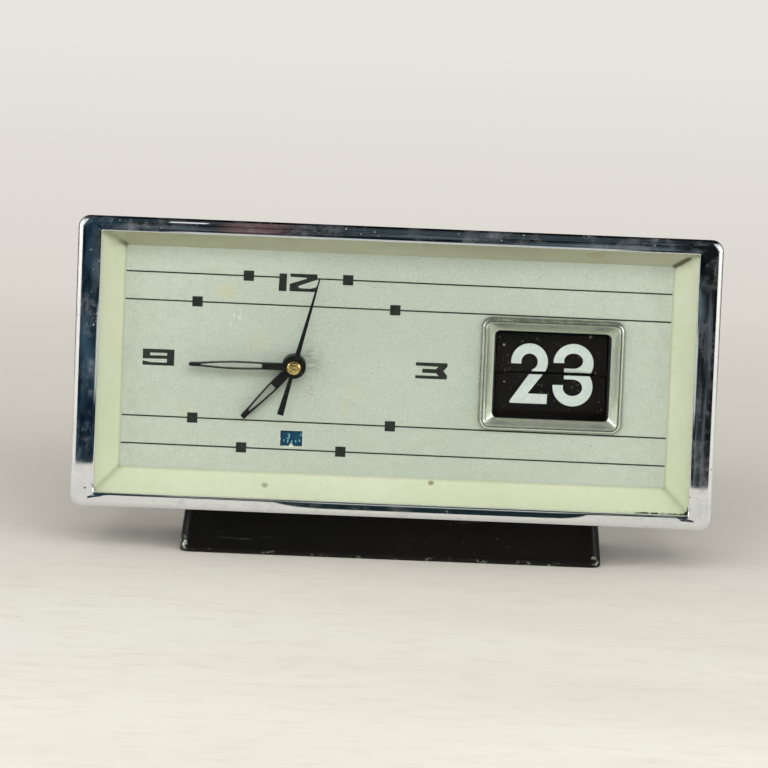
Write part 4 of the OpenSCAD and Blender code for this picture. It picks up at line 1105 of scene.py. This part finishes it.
def screwsPiece():
    # one slotted, domed head, copied to each post
    z, steel = screwSizes, finishes["steel"]
    head, turns = z["head"], [2 * math.pi * i / z["sides"] for i in range(z["sides"])]
    verts = [Vector((r * math.cos(a), 1.3 - d - 0.42, r * math.sin(a))) * mm for r, d in head for a in turns]
    part = meshPiece("screw_head", verts, bandFaces(len(head), z["sides"]), steel, 40)
    corners = [Vector((x * 3, y * z["slotDepth"] + 0.98, up * z["slotWidth"])) * mm
               for x in (-1, 1) for y in (-1, 1) for up in (-1, 1)]
    sides = [(0, 1, 3, 2), (4, 6, 7, 5), (0, 4, 5, 1), (2, 3, 7, 6), (0, 2, 6, 4), (1, 5, 7, 3)]
    cutter = meshPiece("screw_slot", corners, sides, steel, 0)
    slot = part.modifiers.new("slot", "BOOLEAN")
    slot.operation, slot.object, slot.solver = "DIFFERENCE", cutter, "EXACT"
    cut = shownMesh(part)
    part.modifiers.clear()
    part.data = cut
    (_, right), _, (low, high) = extent("back_screws")
    inset = z["across"]
    spots = [place(x * (right - inset), coverBack, up) for x in (-1, 1) for up in (low + inset, high - inset)]
    mesh = pointMesh("screw_points", spots, turn=z["turns"])
    piece = bakeTree("case_screws", copiesTree, mesh, {"Part": part, "Finish": steel}, 40)
    for spare in (part, cutter):
        bpy.data.objects.remove(spare)
    return piece


knobPiece("time_knob", "time_set_knob", "time_setter")
knobPiece("alarm_knob", "alarm_set_knob", "alarm_setter")
carry(screwsPiece(), "housing", "steel", "back_screws")
print("knobs and screws made")


# floor, cards, lights, camera; sizes in metres

stageSizes = {"floor": 6.0, "cardAway": 0.121, "cardHalf": 0.126, "cardTop": 1.2, "foot": 0.0005,
              "wingOut": (0.3, 0.08), "wingIn": (0.135, 0.9), "wingTop": 0.9, "stripAway": 0.1,
              "strip": (-0.069, -0.058, 0.138, 0.2)}
floorColours = {"board": (222, 219, 209), "streak": (214, 210, 199), "fine": (196, 190, 179), "deep": (220, 215, 204),
                "fleck": (140, 134, 124), "backdropLow": (217, 213, 205), "backdrop": (232, 229, 223)}
reflectionCardColours = {"left": (13, 27, 38), "leftPale": (62, 88, 104), "right": (25, 26, 26), "rightPale": (100, 110, 114),
               "top": (12, 19, 24), "topPale": (98, 112, 116), "pink": (150, 112, 110), "low": (26, 42, 44),
               "middle": (208, 213, 206)}


def flatPlane(name, corners, material, onlyInGloss=True):
    mesh = bpy.data.meshes.new(name)
    mesh.from_pydata(corners, [], [(0, 1, 2, 3)])
    mesh.materials.append(material)
    plane = addObject(name, mesh)
    if onlyInGloss:
        plane.visible_camera = plane.visible_diffuse = plane.visible_shadow = False
        plane.visible_transmission = plane.visible_volume_scatter = False


def glow(colour):
    return shade("Emission", {"Color": colour, "Strength": 1.0})


def floorFinish():
    startLook("pale_board", floorColours)
    away = axisOf(1)
    look.colour = tint(cloud(7, 6, 0.35, 0.65, stretch=(0.5, 1.6, 1)), "board", "streak")
    coat(cloud(160, 5, 0.5, 0.75, 0, 0.35, stretch=(0.4, 1, 1)), "fine")
    # painted shade: the floor darkens from just in front of the clock back past it
    coat(between(away, -0.06, 0.1, 0, 0.8), "deep")
    coat(product(specks(90, 0.05), cloud(14, 3, 0.5, 0.6, shift=(1, 0, 0))), "fleck", 0.45)
    board = surface((220, 5, 0.12), 1.0, (0.5, 1, 1), roughness=0.75, specular=0.2)
    # far off, what the camera and the gloss see is a glowing backdrop with painted shade: darker nearer, paler far off
    far = glow(tint(between(away, 0.3, 0.85), "backdropLow", "backdrop"))
    path = look.tree.nodes.new("ShaderNodeLightPath").outputs
    seen = larger(path["Is Camera Ray"], path["Is Glossy Ray"], path["Is Transmission Ray"])
    amount = product(seen, between(away, 0.1, 0.36))
    return close(shade("MixShader", {0: amount, 1: board, 2: far}))


def roomFinish():
    # a glowing card seen only in gloss, which paints the reflections in the bright parts in front: dark, paler through
    # its middle and dark low down
    startLook("dim_room", reflectionCardColours)
    x, z = axisOf(0), axisOf(2)
    across = absolute(x)
    left = tint(cloud(46, 5, 0.4, 0.68, rough=0.65), "left", "leftPale")
    right = tint(cloud(150, 4, 0.5, 0.72, stretch=(1.4, 1, 0.16)), "right", "rightPale")
    rows = cloud(90, 4, 0.44, 0.68, stretch=(0.22, 1, 1.6), rough=0.6)
    pink = product(between(x, -0.056, -0.05), between(x, -0.03, -0.038), between(rows, 0, 1, 0.25, 0.9))
    top = tint(pink, tint(rows, "top", "topPale"), "pink")
    look.colour = tint(between(x, 0.068, 0.078), left, right)
    coat(product(between(z, 0.048, 0.054), between(across, 0.086, 0.082)), top)
    coat(product(between(z, 0.026, 0.022), between(across, 0.07, 0.066)), "low")
    reach = product(between(z, 0.05, 0.044), between(z, 0.018, 0.024))
    coat(product(between(across, 0.072, 0.064), reach), "middle")
    return close(glow(look.colour))


def plainGlow(name, colour):
    startLook(name)
    return close(glow(linear(colour)))


def upright(x0, x1, z0, z1, away):
    return [(x, frontY - away, z) for x, z in ((x0, z0), (x1, z0), (x1, z1), (x0, z1))]


reach, half, foot = (stageSizes[key] for key in ("floor", "cardHalf", "foot"))
corners = [(x * reach, y * reach, 0) for x, y in ((-1, -1), (1, -1), (1, 1), (-1, 1))]
flatPlane("floor", corners, floorFinish(), False)
flatPlane("dim_room", upright(-half, half, foot, stageSizes["cardTop"], stageSizes["cardAway"]), roomFinish())
for side in (-1, 1):  # dark glowing wings behind, seen only in gloss, which paint the thin dark reflected line down the bezel's edges
    (x0, y0), (x1, y1), high = stageSizes["wingOut"], stageSizes["wingIn"], stageSizes["wingTop"]
    corners = [(side * x0, y0, foot), (side * x1, y1, foot), (side * x1, y1, high), (side * x0, y0, high)]
    flatPlane("dark_wing", corners, plainGlow("dark_wing", (14, 16, 18)))
# a small white glowing card, seen only in gloss: a painted highlight on the bezel's top roll
strip = upright(*stageSizes["strip"], stageSizes["stripAway"])
flatPlane("strip_light", strip, plainGlow("strip_light", (255, 255, 255)))

# the world: even light, a plain backdrop for the camera, and a dark room with bright sides for the gloss
worldSizes = {"light": (1.0, 0.99, 0.97, 1), "strength": 0.46, "dark": (14, 16, 19), "bright": (238, 239, 236)}
world = bpy.data.worlds.new("studio")
bpy.context.scene.world = world
world.use_nodes = True
useTree(world.node_tree, "Generated")


def backgroundOf(colour, strength=1.0):
    return shade("Background", {"Color": colour, "Strength": strength})


path = look.tree.nodes.new("ShaderNodeLightPath").outputs
sides = product(between(absolute(axisOf(0)), 0.27, 0.34), between(axisOf(1), 0.62, 0.5),
                between(axisOf(2), 0.8, 0.6))
even = backgroundOf(worldSizes["light"], worldSizes["strength"])
room = backgroundOf(tint(sides, worldSizes["dark"], worldSizes["bright"]))
lit = shade("MixShader", {0: path["Is Glossy Ray"], 1: even, 2: room})
seen = larger(path["Is Camera Ray"], path["Is Transmission Ray"])
mixed = shade("MixShader", {0: seen, 1: lit, 2: backgroundOf(linear(floorColours["backdrop"]))})
look.tree.links.new(mixed, look.tree.nodes.new("ShaderNodeOutputWorld").inputs[0])

lampAim = (0, 0, 0.05)
lampSizes = {
    "over": {"at": (0.0, -0.95, 0.70), "size": (1.0, 0.5), "power": 7.5, "gloss": False},
    "left": {"at": (-0.8, -0.42, 0.24), "size": (0.5, 0.4), "power": 4.9, "gloss": True},
    "right": {"at": (0.8, -0.42, 0.24), "size": (0.5, 0.4), "power": 5.2, "gloss": True},
}


def aimAt(at, to):
    return (Vector(to) - Vector(at)).to_track_quat("-Z", "Y")


for name, row in lampSizes.items():
    lamp = bpy.data.lights.new("softbox_" + name, "AREA")
    lamp.shape, (lamp.size, lamp.size_y), lamp.energy = "RECTANGLE", row["size"], row["power"]
    holder = addObject("softbox_" + name, lamp)
    holder.location = row["at"]
    holder.rotation_euler = aimAt(row["at"], lampAim).to_euler()
    holder.visible_glossy, holder.visible_camera = row["gloss"], False

cameraSizes = {"away": 2.9, "above": 11.8, "roll": 2.33, "lens": 473.3, "shiftX": -0.0154, "shiftY": -0.0129}
lens = bpy.data.cameras.new("view")
lens.lens, lens.sensor_width = cameraSizes["lens"], 36
lens.shift_x, lens.shift_y = cameraSizes["shiftX"], cameraSizes["shiftY"]
lens.clip_start, lens.clip_end = 0.05, 30
camera = addObject("view", lens)
pitch, aim = math.radians(cameraSizes["above"]), place(0, 0, faceZ)
camera.location = aim + Vector((0, -math.cos(pitch), math.sin(pitch))) * cameraSizes["away"]
roll = Matrix.Rotation(math.radians(cameraSizes["roll"]), 4, "Z")
camera.rotation_euler = (aimAt(camera.location, aim).to_matrix().to_4x4() @ roll).to_euler()
bpy.context.scene.camera = camera
bpy.context.scene.view_settings.view_transform = "Standard"
print("stage and camera set")
